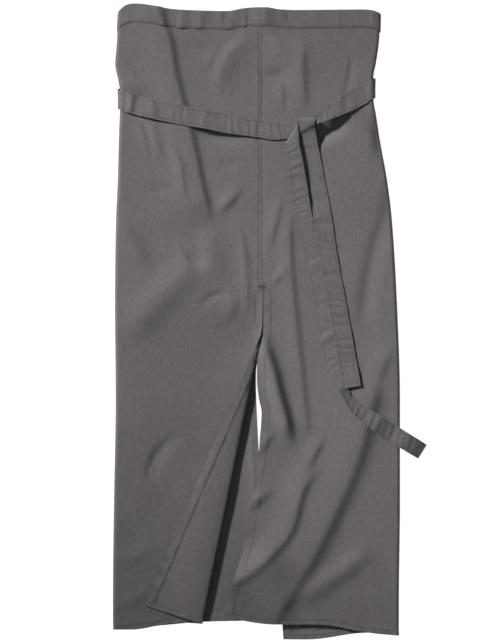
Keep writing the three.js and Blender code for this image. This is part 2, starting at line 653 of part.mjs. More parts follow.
// Flat cloth positions of the columns across each front, from the side fold to the inner edge.
function leftStops(level) {
  const edge = innerEdge("left", level);
  const start = sideX.left(level) + SIDE_DEPTH;
  const roll = (Math.PI * FLAP_RADIUS) / Math.cos(FLAP_LEAN);
  const bend = Math.min(bendX(rowY("left", bendX(level), level, 1)), edge - FLAP_STRIP);
  const hemStart = edge - SPLIT_HEM_WIDTH - HEM_STEP;
  const rolled = bend + Math.min(roll, hemStart - bend - FLAP_LEAST);
  const stops = [];
  for (let c = 0; c <= LEFT_FRONT_STEPS; c += 1) stops.push(mix(start, bend, c / LEFT_FRONT_STEPS));
  for (let c = 1; c <= ROLL_STEPS; c += 1) stops.push(mix(bend, rolled, c / ROLL_STEPS));
  for (let c = 1; c <= FLAP_STEPS; c += 1) stops.push(mix(rolled, hemStart, c / FLAP_STEPS));
  stops.push(edge - (level > SPLIT_TOP ? SEAM_WIDTH : SPLIT_HEM_WIDTH), edge);
  return stops;
}

function rightStops(level) {
  const edge = innerEdge("right", level);
  const start = sideX.right(level) - SIDE_DEPTH;
  const hemStart = edge + SPLIT_HEM_WIDTH + HEM_STEP;
  const stops = [];
  for (let c = 0; c <= RIGHT_FRONT_STEPS; c += 1) stops.push(mix(start, hemStart, c / RIGHT_FRONT_STEPS));
  stops.push(edge + SPLIT_HEM_WIDTH, edge);
  return stops;
}

const frontStops = { left: leftStops, right: rightStops };

// A panel: its back, its side fold and its front, with the flap where the left one is turned back.
function panel(side) {
  const grid = rowLevels(side).map((level) => {
    const cells = backColumns(side, level).map((column) => backCell(side, level, column));
    const edge = innerEdge(side, level);
    const seamWidth = side === "left" ? SEAM_WIDTH : NO_HEM;
    const hem = level > SPLIT_TOP ? seamWidth : SPLIT_HEM_WIDTH;
    for (const x of frontStops[side](level)) {
      const wall = wallAt(level, Infinity, Math.abs(x - edge), hem);
      cells.push({ point: frontPoint(side, x, level), wall });
    }
    return cells;
  });
  return shell(grid, inward(side));
}

// Point of the body with its outward normal, for the band that is sewn over the top edge.
function bodyFrame(side, place, level) {
  const step = PROBE / 100;
  const low = Math.max(place - step, 0);
  const high = Math.min(place + step, 3);
  const run = bodyPoint(side, high, level).sub(bodyPoint(side, low, level));
  const rise = bodyPoint(side, place, level + PROBE).sub(bodyPoint(side, place, level - PROBE));
  const normal = run.cross(rise).normalize().multiplyScalar(inward(side));
  return { point: bodyPoint(side, place, level), normal };
}

// The waistband: a strip folded over the top edge, swept from one back edge to the other.
function waistband() {
  const inner = BAND_SLOT / 2;
  const outer = inner + BAND_PLY;
  const profile = [
    [outer, BAND_HEIGHT],
    [outer, BAND_ROUND],
    [outer - BAND_PLY, BAND_ROUND / 4],
    [0, 0],
    [BAND_PLY - outer, BAND_ROUND / 4],
    [-outer, BAND_ROUND],
    [-outer, BAND_HEIGHT],
    [-inner, BAND_HEIGHT],
    [-inner, BAND_TOP],
    [inner, BAND_TOP],
    [inner, BAND_HEIGHT],
  ];
  const placesOf = (side) => {
    const level = WAIST_LEVEL - BAND_HEIGHT;
    const edge = innerEdge(side, level);
    const start = sideX[side](level) + SIDE_DEPTH * inward(side);
    const front = frontStops[side](level).map((x) => 2 + (x - start) / (edge - start));
    const back = backColumns(side, level).map((column) => column.place);
    return [...back, ...front].map((place) => [side, place]);
  };
  const stations = [...placesOf("left"), ...placesOf("right").reverse().slice(1)];
  const solid = new Solid();
  const rings = stations.map(([side, place]) => profile.map(([offset, drop]) => {
    const { point, normal } = bodyFrame(side, place, WAIST_LEVEL - drop);
    return solid.add(point.addScaledVector(normal, offset));
  }));
  const size = profile.length;
  for (let s = 0; s + 1 < rings.length; s += 1) {
    for (let k = 0; k < size; k += 1) {
      const next = (k + 1) % size;
      solid.quad(rings[s][next], rings[s][k], rings[s + 1][k], rings[s + 1][next]);
    }
  }
  const outline = profile.map(([offset, drop]) => new THREE.Vector2(offset, -drop));
  for (const [a, b, c] of THREE.ShapeUtils.triangulateShape(outline, [])) {
    const first = rings[0];
    const last = rings[rings.length - 1];
    solid.faces.push(first[a], first[b], first[c], last[c], last[b], last[a]);
  }
  return solid.geometry();
}

// Stations of a tie where it goes round a side fold, from underneath to the top.
function roundSide(side) {
  const offset = CLOTH / 2 + SIDE_GAP + TIE_THICKNESS / 2;
  const { below, above } = SIDE_CROSSING[side];
  return SIDE_TURNS.map((degrees, i) => {
    const angle = THREE.MathUtils.degToRad(degrees);
    const y = mix(below, above, i / (SIDE_TURNS.length - 1));
    const reaches = WIDTH_PARTS.map((part) => inward(side) * sideX[side](y + part * TIE_WIDTH));
    const centre = inward(side) * (Math.min(...reaches) + SIDE_DEPTH);
    const x = centre - (SIDE_DEPTH + offset) * Math.cos(angle) * inward(side);
    const middle = (sideTop(side, y) + backLevel(y)) / 2;
    const half = (sideTop(side, y) - backLevel(y)) / 2 + offset;
    const lift = middle + half * Math.sin(angle);
    return { x, y, rest: 0, span: 0, lift, width: TIE_WIDTH, across: 90, tilt: 0 };
  });
}

// Highest cloth within the span of a tie.
function highestCloth(x, y, span) {
  let highest = 0;
  for (const right of BRIDGE_PARTS) {
    for (const up of BRIDGE_PARTS) {
      const side = x + right * span < SEAM_X ? "left" : "right";
      highest = Math.max(highest, frontHeight(side, x + right * span, y + up * span));
    }
  }
  return highest;
}

// Height on which a station of a tie rests: the highest cloth, averaged over the neighbourhood.
function restHeight({ x, y, span }) {
  let sum = 0;
  for (const right of SMOOTH_PARTS) {
    for (const up of SMOOTH_PARTS) sum += highestCloth(x + right * span, y + up * span, span);
  }
  return sum / SMOOTH_PARTS.length ** 2;
}

// A flat tie through a table of stations, lying on the highest folds under it.
function tie(rows) {
  let run = 0;
  const table = rows.map((row, i) => {
    if (i > 0) {
      const last = rows[i - 1];
      const climb = row.rest === last.rest ? row.lift - last.lift : 0;
      run += Math.hypot(row.x - last.x, row.y - last.y, climb);
    }
    return { ...row, run };
  });
  const names = ["x", "y", "rest", "span", "lift", "width", "across", "tilt"];
  const columns = Object.fromEntries(names.map((name) => [name, curve(table, "run", name)]));
  const stationAt = (at) => Object.fromEntries(names.map((name) => [name, columns[name](at)]));
  const count = Math.ceil(run / REST_STEP);
  const rests = [];
  for (let i = 0; i <= count; i += 1) {
    const at = (run * i) / count;
    rests.push({ run: at, height: restHeight(stationAt(at)) });
  }
  const restAt = curve(rests, "run", "height");
  const stops = [];
  for (let i = 0; i + 1 < table.length; i += 1) {
    const steps = Math.max(1, Math.round((table[i + 1].run - table[i].run) / TIE_STEP));
    for (let s = 0; s < steps; s += 1) stops.push(mix(table[i].run, table[i + 1].run, s / steps));
  }
  stops.push(run);
  const centreAt = (at) => {
    const station = stationAt(at);
    const stand = (station.width / 2) * Math.abs(Math.sin(THREE.MathUtils.degToRad(station.tilt)));
    return new THREE.Vector3(station.x, station.y, station.rest * restAt(at) + station.lift + stand);
  };
  const solid = new Solid();
  const rings = stops.map((at) => {
    const station = stationAt(at);
    const bearing = THREE.MathUtils.degToRad(station.across);
    const tilt = THREE.MathUtils.degToRad(station.tilt);
    const across = new THREE.Vector3(
      Math.cos(bearing) * Math.cos(tilt),
      Math.sin(bearing) * Math.cos(tilt),
      Math.sin(tilt),
    );
    const ahead = centreAt(Math.min(at + PROBE, run)).sub(centreAt(Math.max(at - PROBE, 0)));
    const normal = ahead.cross(across).normalize().multiplyScalar(TIE_THICKNESS / 2);
    const centre = centreAt(at);
    const reach = across.multiplyScalar(station.width / 2);
    const corner = (a, n) => solid.add(centre.clone().addScaledVector(reach, a).addScaledVector(normal, n));
    return [corner(1, 1), corner(-1, 1), corner(-1, -1), corner(1, -1)];
  });
  for (let s = 0; s + 1 < rings.length; s += 1) {
    const here = rings[s];
    const next = rings[s + 1];
    solid.quad(here[0], here[1], next[1], next[0]);
    solid.quad(here[1], here[2], next[2], next[1]);
    solid.quad(here[3], next[3], next[2], here[2]);
    solid.quad(here[3], here[0], next[0], next[3]);
  }
  const first = rings[0];
  const last = rings[rings.length - 1];
  solid.quad(first[3], first[2], first[1], first[0]);
  solid.quad(last[0], last[1], last[2], last[3]);
  return solid.geometry();
}

function piece(name, geometry, colour) {
  const finish = new THREE.MeshStandardMaterial({ color: colour, roughness: CLOTH_ROUGHNESS, metalness: 0 });
  const mesh = new THREE.Mesh(geometry, finish);
  mesh.name = name;
  return mesh;
}

const leftTieRows = [...LEFT_TIE_BACK, ...roundSide("left"), ...LEFT_TIE_FRONT];
const rightTieRows = [...RIGHT_TIE_BACK, ...roundSide("right"), ...RIGHT_TIE_FRONT];

const apron = new THREE.Group();
apron.name = "split_leg_apron";
apron.add(piece("left_panel", panel("left"), PANEL_COLOUR));
apron.add(piece("right_panel", panel("right"), PANEL_COLOUR));
apron.add(piece("waistband", waistband(), BAND_COLOUR));
apron.add(piece("left_tie", tie(leftTieRows), TIE_COLOUR));
apron.add(piece("right_tie", tie(rightTieRows), TIE_COLOUR));

export default apron;
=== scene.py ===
# %% [markdown]
# # A split-leg apron laid out flat
# The real apron is two long panels of grey twill, sewn together down the upper front and left open
# below, with a folded waistband and two long ties. It lies on its back on a pale table, and the
# camera looks straight down at it.

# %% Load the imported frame
import math

import bpy
import numpy as np
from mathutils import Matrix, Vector


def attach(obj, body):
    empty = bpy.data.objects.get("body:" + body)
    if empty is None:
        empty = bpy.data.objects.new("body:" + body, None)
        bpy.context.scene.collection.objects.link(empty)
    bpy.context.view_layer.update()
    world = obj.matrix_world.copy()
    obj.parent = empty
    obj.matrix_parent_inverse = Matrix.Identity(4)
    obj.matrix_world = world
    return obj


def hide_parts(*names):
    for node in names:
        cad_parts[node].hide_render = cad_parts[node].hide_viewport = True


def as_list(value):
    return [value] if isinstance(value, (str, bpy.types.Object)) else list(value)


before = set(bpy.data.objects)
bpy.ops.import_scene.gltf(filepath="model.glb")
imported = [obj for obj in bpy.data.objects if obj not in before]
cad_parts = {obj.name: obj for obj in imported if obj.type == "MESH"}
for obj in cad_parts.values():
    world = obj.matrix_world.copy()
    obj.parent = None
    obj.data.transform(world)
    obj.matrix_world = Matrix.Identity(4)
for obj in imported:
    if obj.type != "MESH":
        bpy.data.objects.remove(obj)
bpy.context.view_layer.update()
MM = 0.001
print("solids in the frame:", sorted(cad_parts))

# %% [markdown]
# ## Camera
# A product photo of clothes is taken from high above with a long lens, so the cloth shows almost
# no perspective. A camera 4.5 m up with a lens to match gives that. Blender measures the field of
# view along the longer side of the picture, which here is its height.

# %% Camera above the apron
PICTURE = (500, 643)
MM_PER_PIXEL = 1.42
SEAM_PIXEL = (270, 322)
CAMERA_HEIGHT = 4.5
CLOTH_HEIGHT = 0.015
SENSOR_WIDTH, FAR_CLIP = 36, 50

lens_data = bpy.data.cameras.new("overhead_camera")
camera = bpy.data.objects.new("overhead_camera", lens_data)
bpy.context.scene.collection.objects.link(camera)
seen_height = PICTURE[1] * MM_PER_PIXEL * MM
lens_data.sensor_width = SENSOR_WIDTH
lens_data.lens = SENSOR_WIDTH * (CAMERA_HEIGHT - CLOTH_HEIGHT) / seen_height
lens_data.clip_end = FAR_CLIP
camera.location = (
    (PICTURE[0] / 2 - SEAM_PIXEL[0]) * MM_PER_PIXEL * MM,
    (SEAM_PIXEL[1] - PICTURE[1] / 2) * MM_PER_PIXEL * MM,
    CAMERA_HEIGHT,
)
bpy.context.scene.camera = camera
print("lens", round(lens_data.lens), "mm, picture height", round(seen_height, 3), "m")

# %% [markdown]
# ## Table and light
# The photo has a white ground and one soft light from the upper left, low enough for the
# folds to show. A square light seven metres off and a little over a metre wide makes shadows with
# a soft rim, and the pale surroundings fill them a little. A grid on the light narrows its beam, so
# the waist and above all the hems get less of it. The table is a plain plane just under the cloth.
# It glows, because the ground in the photo is pure white and shows no shadow.

# %% Table, light and surroundings
TABLE_SIZE, TABLE_DROP = 8, 0.0004
TABLE_GREY = (0.12, 0.12, 0.12, 1)
TABLE_ROUGHNESS, TABLE_GLOW = 0.9, 1.0
WHITE = (1, 1, 1, 1)
LIGHT_FROM = np.array([-0.82, 0.57, 0.70])
LIGHT_AIM = np.array([0.03, 0.12, 0.0])
LIGHT_DISTANCE = 7.0
LIGHT_SIZE = 1.15
LIGHT_SPREAD = 9.5
LIGHT_POWER = 7.2
SURROUND_STRENGTH = 0.2


def set_inputs(node, values):
    for name, value in values.items():
        node.inputs[name].default_value = value


bpy.ops.mesh.primitive_plane_add(size=TABLE_SIZE, location=(0, 0, -TABLE_DROP))
table_top = bpy.context.object
table_top.name = "pale_table"
table_finish = bpy.data.materials.new("pale_table")
table_finish.use_nodes = True
set_inputs(table_finish.node_tree.nodes["Principled BSDF"], {
    "Base Color": TABLE_GREY,
    "Roughness": TABLE_ROUGHNESS,
    "Emission Color": WHITE,
    "Emission Strength": TABLE_GLOW,
})
table_top.data.materials.append(table_finish)

soft_box = bpy.data.lights.new("soft_box", "AREA")
soft_box.energy = LIGHT_POWER
soft_box.size = LIGHT_SIZE
soft_box.spread = math.radians(LIGHT_SPREAD)
soft_light = bpy.data.objects.new("soft_box", soft_box)
bpy.context.scene.collection.objects.link(soft_light)
toward = LIGHT_FROM / np.linalg.norm(LIGHT_FROM)
soft_light.location = LIGHT_AIM + toward * LIGHT_DISTANCE
soft_light.rotation_euler = Vector(toward).to_track_quat("Z", "Y").to_euler()

surround = bpy.data.worlds.new("pale_room")
surround.use_nodes = True
room_shader = surround.node_tree.nodes["Background"]
set_inputs(room_shader, {"Color": WHITE, "Strength": SURROUND_STRENGTH})
bpy.context.scene.world = surround
bpy.context.scene.view_settings.view_transform = "Standard"
print("light height", round(soft_light.location.z, 2), "m")

# %% [markdown]
# ## Tables and smooth curves
# Cloth is easiest to describe with short tables: one row per section, with named columns. A curve
# through one column then gives a value anywhere between the rows. It is a cubic curve that lies
# level where the column turns, so it hardly swings past the numbers in the table.

# %% Table and curve helpers
def table(columns, *rows):
    return dict(zip(columns.split(), np.array(rows, float).T))


def cubic(t, span, start, end, start_slope, end_slope):
    first = (2 * t**3 - 3 * t**2 + 1) * start + (t**3 - 2 * t**2 + t) * span * start_slope
    return first + (3 * t**2 - 2 * t**3) * end + (t**3 - t**2) * span * end_slope


def curve(rows, given, wanted):
    order = np.argsort(rows[given])
    x, y = rows[given][order], rows[wanted][order]
    step = np.diff(y)
    pitch = step / np.diff(x)
    slope = np.concatenate([pitch[:1], np.zeros(len(x) - 2), pitch[-1:]])
    steady = step[1:] * step[:-1] > 0
    slope[1:-1][steady] = ((y[2:] - y[:-2]) / (x[2:] - x[:-2]))[steady]

    def at(value):
        value = np.clip(value, x[0], x[-1])
        i = np.clip(np.searchsorted(x, value, side="right") - 1, 0, len(x) - 2)
        span = x[i + 1] - x[i]
        return cubic((value - x[i]) / span, span, y[i], y[i + 1], slope[i], slope[i + 1])

    return at


def ease(value):
    t = np.clip(value, 0, 1)
    return t * t * (3 - 2 * t)


def mix(a, b, t):
    return a + (b - a) * t


def beside(*grids):
    return np.concatenate(grids, axis=1)


def reach_along(points):
    legs = np.linalg.norm(np.diff(points, axis=0), axis=1)
    return np.concatenate([[0], np.cumsum(legs)])


# %% [markdown]
# ## How the apron lies
# Each panel goes from a free edge under the back, round a side fold and across the front to the
# middle. The first table gives the two side folds and the heights of the front and back cloth from
# the waist down, in millimetres. The others are the waist line, the hems and the free edges.

# %% Sections, hems and free edges
SIDES = ("left", "right")
BODY = table(
    "y left right front back",
    (460, -213, 157, 18.0, 6.0),
    (437, -215.5, 156, 18.0, 6.0),
    (403, -217, 154.5, 17.5, 6.0),
    (369, -219.5, 150, 17.5, 6.0),
    (349, -216, 146.5, 17.0, 5.8),
    (328, -212.5, 146.5, 17.0, 5.4),
    (312, -212, 147, 17.3, 5.0),
    (296, -213, 150, 17.6, 4.2),
    (258, -214.5, 156, 17.6, 2.0),
    (202, -216, 166, 17.2, 0.5),
    (145, -218.5, 173, 16.6, 0.5),
    (31, -220, 180, 15.5, 0.5),
    (-111, -219, 184.5, 13.0, 0.5),
    (-253, -221.5, 184.5, 12.0, 0.5),
    (-385, -223, 183, 11.8, 0.5),
    (-420, -223, 183, 9.3, 0.5),
    (-446, -223, 182.5, 7.7, 0.5),
    (-460, -223, 182, 7.2, 0.5),
)
WAIST_LINE = table(
    "x y",
    (-216, 440), (-206, 449), (-192, 452), (-166, 449), (-140, 444.5), (-108, 442.5), (-60, 441.5),
    (-40, 445), (-22, 446.5), (-5, 446.5), (12, 444), (38, 443), (115, 443.5), (143, 443), (157, 438.5),
)
FRONT_HEM = {
    "left": table(
        "x y", (-223, -437.5), (-196, -437.5), (-160, -432), (-132, -428), (-100, -429), (-10, -437)
    ),
    "right": table(
        "x y",
        (-64, -417), (-44, -423), (-11, -428.5), (17, -430), (81, -431), (121, -438.5), (149, -443),
        (183, -446),
    ),
}
BACK_HEM = {
    "left": table("x y", (-223, -437.5), (-185, -435), (-104, -427.5), (-40, -425.5), (-4, -424.5)),
    "right": table("x y", (20, -452), (67, -451.5), (121, -443.5), (143, -442.5), (183, -446)),
}
BACK_EDGES = table(
    "y left right",
    (460, -48, -25), (120, -20, -4), (40, -6, 6), (-15, -5.5, 7), (-42, -14, 4), (-58, -18.2, 3),
    (-75, -20, 2), (-110, -19.5, 1), (-460, -2.5, 21),
)
RIGHT_SPLIT_EDGE = table(
    "y x",
    (60, -10.4), (31, -9.8), (-11, -9.6), (-51, -17.5), (-82, -18.5), (-110, -15.5), (-128, -12),
    (-167, -14.5), (-189, -16.5), (-243, -24.5), (-287, -31), (-331, -39.5), (-363, -48.5),
    (-417, -63), (-440, -67),
)
side_x = {side: curve(BODY, "y", side) for side in SIDES}
front_level, back_level = curve(BODY, "y", "front"), curve(BODY, "y", "back")
back_edge = {side: curve(BACK_EDGES, "y", side) for side in SIDES}
waist_line = curve(WAIST_LINE, "x", "y")
front_hem = {side: curve(FRONT_HEM[side], "x", "y") for side in FRONT_HEM}
back_hem = {side: curve(BACK_HEM[side], "x", "y") for side in BACK_HEM}
right_split_edge = curve(RIGHT_SPLIT_EDGE, "y", "x")
print("sections:", len(BODY["y"]), "from", BODY["y"][0], "down to", BODY["y"][-1], "mm")

# %% [markdown]
# ## Folds of the front
# Cloth that has hung in use keeps broad folds and a few sharp creases. Simulating them would give
# some folds, but not these ones, so each is a row here: how far it rises (a valley is negative),
# how far it spreads to the left and right of someone walking along it, and points on its crest. A
# narrow side is steep and catches a shadow, a wide side falls away gently.

# %% The folds, row by row
CREST_STEP = 8


def smooth_line(points):
    reach = reach_along(points)
    slope = np.gradient(points, reach, axis=0)
    at = np.linspace(0, reach[-1], max(4, round(reach[-1] / CREST_STEP)) + 1)
    i = np.clip(np.searchsorted(reach, at, side="right") - 1, 0, len(reach) - 2)
    span = (reach[i + 1] - reach[i])[:, None]
    t = (at - reach[i])[:, None] / span
    return cubic(t, span, points[i], points[i + 1], slope[i], slope[i + 1])


def fold(rise, left, right, *crest):
    return {"rise": rise, "left": left, "right": right, "crest": smooth_line(np.array(crest, float))}


FOLD_ROWS = [
    # from the band downwards
    (5.5, 7, 42, (-168, 478), (-157, 430), (-146, 405), (-138, 361), (-125, 305), (-109, 244),
     (-97, 185), (-82, 132)),
    (4, 18, 14, (-9, 478), (-8, 432), (-9, 400)),
    (2.5, 8, 12, (-9, 415), (14, 390), (34, 361)),
    (3.8, 8, 18, (44, 412), (44, 372), (45, 337), (51, 290)),
    (-2, 7, 9, (-20, 345), (7, 351), (34, 341)),
    (2, 5, 14, (14, 349), (16, 322), (16, 293)),
    (3, 16, 9, (-20, 419), (-43, 395), (-61, 375), (-72, 346), (-75, 312)),
    (1.2, 4, 7, (-74, 385), (-84, 371), (-94, 355)),
    (-1.2, 7, 8, (-131, 389), (-104, 388), (-75, 390)),
    (-1.6, 6, 5, (116, 392), (114, 351), (104, 312)),
    (3.6, 4, 9, (-224, 356), (-202, 338), (-190, 328), (-176, 311)),
    (2.2, 5, 8, (-224, 376), (-195, 349), (-165, 317)),
    # below the ties
    (1.8, 4, 6, (-190, 295), (-180, 264), (-170, 224)),
    (2.5, 7, 8, (-173, 295), (-163, 258), (-153, 219)),
    (2, 4, 9, (-152, 261), (-138, 247), (-128, 226), (-124, 195), (-116, 159)),
    (-1.6, 8, 10, (-202, 193), (-163, 186), (-121, 195)),
    (-1.4, 8, 8, (-88, 223), (-65, 220), (-40, 233)),
    (3.4, 6, 9, (-37, 196), (-61, 169), (-82, 148)),
    (3, 20, 12, (-82, 142), (-87, 95), (-78, 43)),
    (1.5, 6, 8, (-50, 151), (-38, 102), (-34, 53), (-33, -11)),
    (1.5, 3, 5, (-139, 119), (-124, 97), (-108, 72)),
    (-1.8, 7, 7, (-128, 94), (-104, 88), (-77, 97)),
    (4, 12, 16, (-230, 158), (-203, 125), (-189, 104), (-162, 72)),
    (5.5, 22, 24, (-94, 92), (-131, 58), (-168, 21), (-216, -27)),
    (-2, 5, 8, (-108, 10), (-87, 34), (-70, 41), (-45, 27)),
    (2.4, 8, 12, (-54, 43), (-55, 20), (-68, -6)),
    (2.6, 6, 9, (17, 187), (6, 139), (-7, 92)),
    (2.8, 6, 14, (27, 166), (27, 102), (31, 45), (36, -4), (41, -54), (47, -111), (53, -175)),
    (1.4, 4, 6, (31, 87), (13, 65), (-7, 44)),
    # both legs and the right side
    (12, 9, 12, (-13, -6), (-6, -40), (3, -71), (11, -104), (20, -136), (30, -182)),
    (-2.8, 14, 10, (172, 216), (165, 148), (152, 114), (142, 74), (135, 31), (129, -18)),
    (-7, 9, 9, (152, 304), (156, 261), (163, 213)),
    (-3, 12, 7, (-122, -155), (-148, -173), (-160, -187), (-169, -207), (-176, -239)),
    (3.8, 6, 12, (81, -153), (64, -183), (47, -216)),
    (6, 8, 26, (74, -204), (50, -227), (40, -253), (34, -278), (23, -304), (4, -325),
     (-20, -348), (-48, -368), (-80, -392)),
    (12, 30, 18, (21, -311), (-11, -344), (-43, -366), (-91, -398)),
    (3.2, 8, 22, (176, -26), (166, -46), (154, -72), (147, -98)),
    (8.5, 14, 50, (152, -70), (146, -94), (138, -125), (128, -170), (108, -227), (82, -284),
     (53, -341), (27, -383), (-6, -435)),
    (5.5, 14, 14, (151, -317), (106, -351), (74, -373), (28, -405)),
    (4, 6, 8, (10, -148), (-10, -173), (-26, -197)),
    (4.5, 7, 9, (9, -234), (-16, -250), (-38, -268)),
    (1.8, 9, 9, (-234, -334), (-202, -335), (-156, -318)),
    (2.2, 9, 9, (-234, -403), (-199, -395), (-156, -375)),
    # hollows under the ties
    (-4, 9, 8, (-114, 268), (-78, 263), (-21, 253)),
    (-10, 15, 12, (34, 246), (78, 268), (122, 292)),
]
FOLDS = [fold(*row) for row in FOLD_ROWS]
print("folds:", len(FOLDS), "the highest rises", max(row["rise"] for row in FOLDS), "mm")

# %% Height of the folds at any place
TAPER, TAPER_LENGTH = 0.5, 45
FOLD_REACH = 2.5


def fold_relief(x, y):
    x, y = np.asarray(x, float), np.asarray(y, float)
    relief = np.zeros(x.shape)
    for row in FOLDS:
        line = row["crest"]
        reach = FOLD_REACH * max(row["left"], row["right"])
        low, high = line.min(axis=0) - reach, line.max(axis=0) + reach
        close = (x > low[0]) & (x < high[0]) & (y > low[1]) & (y < high[1])
        at_x, at_y = x[close], y[close]
        best = np.full(at_x.shape, np.inf)
        signed, along = np.zeros(at_x.shape), np.zeros(at_x.shape)
        for leg, (a, b) in enumerate(zip(line[:-1], line[1:])):
            d = b - a
            t = np.clip(((at_x - a[0]) * d[0] + (at_y - a[1]) * d[1]) / (d @ d), 0, 1)
            off_x, off_y = at_x - a[0] - t * d[0], at_y - a[1] - t * d[1]
            distance = np.hypot(off_x, off_y)
            nearer = distance < best
            best = np.where(nearer, distance, best)
            signed = np.where(nearer, np.sign(d[0] * off_y - d[1] * off_x) * distance, signed)
            along = np.where(nearer, (leg + t) / (len(line) - 1), along)
        width = np.where(signed > 0, row["left"], row["right"])
        length = reach_along(line)[-1]
        share = min(TAPER, TAPER_LENGTH / length)
        taper = ease(along / share) * ease((1 - along) / share)
        relief[close] += row["rise"] * taper * np.exp(-((signed / width) ** 2))
    return relief


print("relief on the long fold:", round(float(fold_relief(99.0, -217.0)), 1), "mm")

# %% [markdown]
# ## Soft unevenness
# Between the folds the cloth is never quite flat. A grid of seeded random numbers, blended
# smoothly, gives gentle swells that come out the same on every run. A kind of swell is its size both
# ways in millimetres and its seed.

# %% Smooth random swells
LATTICE = 96
BROAD_KIND = (46, 60, 11)
FINE_KIND = (15, 24, 12)
BROAD_HEIGHT, FINE_HEIGHT, FINE_LEAN = 0.5, 0.16, 0.4


def swells(x, y, size_x, size_y, seed):
    lattice = np.random.default_rng(seed).standard_normal((LATTICE, LATTICE))
    u, v = np.asarray(x) / size_x, np.asarray(y) / size_y
    i, j = np.floor(u).astype(int), np.floor(v).astype(int)
    s, t = ease(u - i), ease(v - j)
    corner = lambda a, b: lattice[(i + a) % LATTICE, (j + b) % LATTICE]
    return mix(mix(corner(0, 0), corner(1, 0), s), mix(corner(0, 1), corner(1, 1), s), t)


def unevenness(x, y):
    broad = BROAD_HEIGHT * swells(x, y, *BROAD_KIND)
    fine = FINE_HEIGHT * swells(x + FINE_LEAN * y, y, *FINE_KIND)
    return broad + fine


print("swell at the middle:", round(float(unevenness(0.0, 0.0)), 2), "mm")

# %% [markdown]
# ## The lie of the front
# The front is high over the back. Beside the split the left leg sinks low, and the right leg's edge
# stands up a little, so that leg slopes away from the light. Below the split's top the left panel's
# edge is turned back over itself: the cloth rolls over a slanting line, along a flat half ellipse,
# and lies down again on top, showing its wrong side.

# %% Heights and positions on the cloth
CLOTH, HEM = 1.0, 1.8
WAIST_LEVEL, HEM_LEVEL = 443, -430
WAIST_FADE, HEM_FADE = 170, 260
SEAM_X, SEAM_GAP, SPLIT_TOP, SPLIT_FADE = -10.6, 0.06, 51, 95
FLAP_HALF, FLAP_RISE, FLAP_LEAN, FLAP_APEX_Y = 22, 3.8, math.radians(11.6), -10.6
FLAP_SETTLE, FLAP_REST = 55, 3.0
ROLL_SAMPLES = 121
ROLL_TURN = np.linspace(-math.pi / 2, math.pi / 2, ROLL_SAMPLES)
ROLL_STEP = np.hypot(np.diff(FLAP_HALF * np.cos(ROLL_TURN)), np.diff(FLAP_RISE * np.sin(ROLL_TURN)))
ROLL_ARC = np.concatenate([[0], np.cumsum(ROLL_STEP)])
ROLL_LENGTH = ROLL_ARC[-1]
EDGE_HEIGHT = {"left": 6, "right": 15}
EDGE_CALM, CALM_WIDTH = {"left": 1.0, "right": 0.2}, 75
DROOP_WIDTH = {"left": 160, "right": 110}
SIDE_DEPTH, BACK_WAIST_DROP = 4, 3
GROOVE_DEPTH, GROOVE_WIDTH = 0.45, 1.8
INWARD = {"left": 1, "right": -1}


def inner_edge(side, y):
    if side == "left":
        return np.full(np.shape(y), SEAM_X - SEAM_GAP / 2)
    return np.where(y > SPLIT_TOP, SEAM_X + SEAM_GAP / 2, right_split_edge(y))


def seam_groove(x, y):
    return GROOVE_DEPTH * np.exp(-(((x - SEAM_X) / GROOVE_WIDTH) ** 2)) * (y > SPLIT_TOP)


def bend_x(y):
    mirror_line = SEAM_X + math.tan(FLAP_LEAN) * (y - FLAP_APEX_Y)
    return mirror_line - ROLL_LENGTH / 2 / math.cos(FLAP_LEAN)


def front_height(side, x, y):
    level = front_level(y)
    edge = inner_edge(side, y)
    if side == "left":
        edge = np.minimum(bend_x(y), edge)
    below = ease((SPLIT_TOP - y) / SPLIT_FADE)
    near = (1 - ease(np.abs(x - edge) / DROOP_WIDTH[side])) * below
    calm = EDGE_CALM[side] * (1 - ease(np.abs(x - edge) / CALM_WIDTH)) * below
    shape = fold_relief(x, y) * (1 - calm) + unevenness(x, y)
    return level + shape - (level - EDGE_HEIGHT[side]) * near - seam_groove(x, y)


def side_top(side, y):
    return front_height(side, side_x[side](y) + SIDE_DEPTH * INWARD[side], y)


def row_y(side, x, level, front):
    top = ease(1 - (WAIST_LEVEL - level) / WAIST_FADE)
    bottom = ease(1 - (level - HEM_LEVEL) / HEM_FADE)
    hem = front * front_hem[side](x) + (1 - front) * back_hem[side](x)
    waist = waist_line(x) - (1 - front) * BACK_WAIST_DROP
    return level + top * (waist - WAIST_LEVEL) + bottom * (hem - HEM_LEVEL)


def front_point(side, x, level):
    y = row_y(side, x, level, 1)
    flat = np.stack([x, y, front_height(side, x, y)], axis=-1)
    past = (x - bend_x(y)) * math.cos(FLAP_LEAN)
    if side == "right" or not (past > 0).any():
        return flat
    out_x, out_y = math.cos(FLAP_LEAN), -math.sin(FLAP_LEAN)
    turn = np.interp(past, ROLL_ARC, ROLL_TURN)
    back = np.maximum(past - ROLL_LENGTH, 0)
    rolling = past < ROLL_LENGTH
    shift = FLAP_HALF * np.cos(turn) - back - past
    over_x, over_y = x + shift * out_x, y + shift * out_y
    settled = mix(2 * FLAP_RISE, FLAP_REST, ease(back / FLAP_SETTLE))
    lift = np.where(rolling, FLAP_RISE * (1 + np.sin(turn)), settled)
    under_x = np.where(rolling, x - past * out_x, over_x)
    under_y = np.where(rolling, y - past * out_y, over_y)
    rolled = np.stack([over_x, over_y, front_height(side, under_x, under_y) + lift], axis=-1)
    return np.where((past > 0)[..., None], rolled, flat)


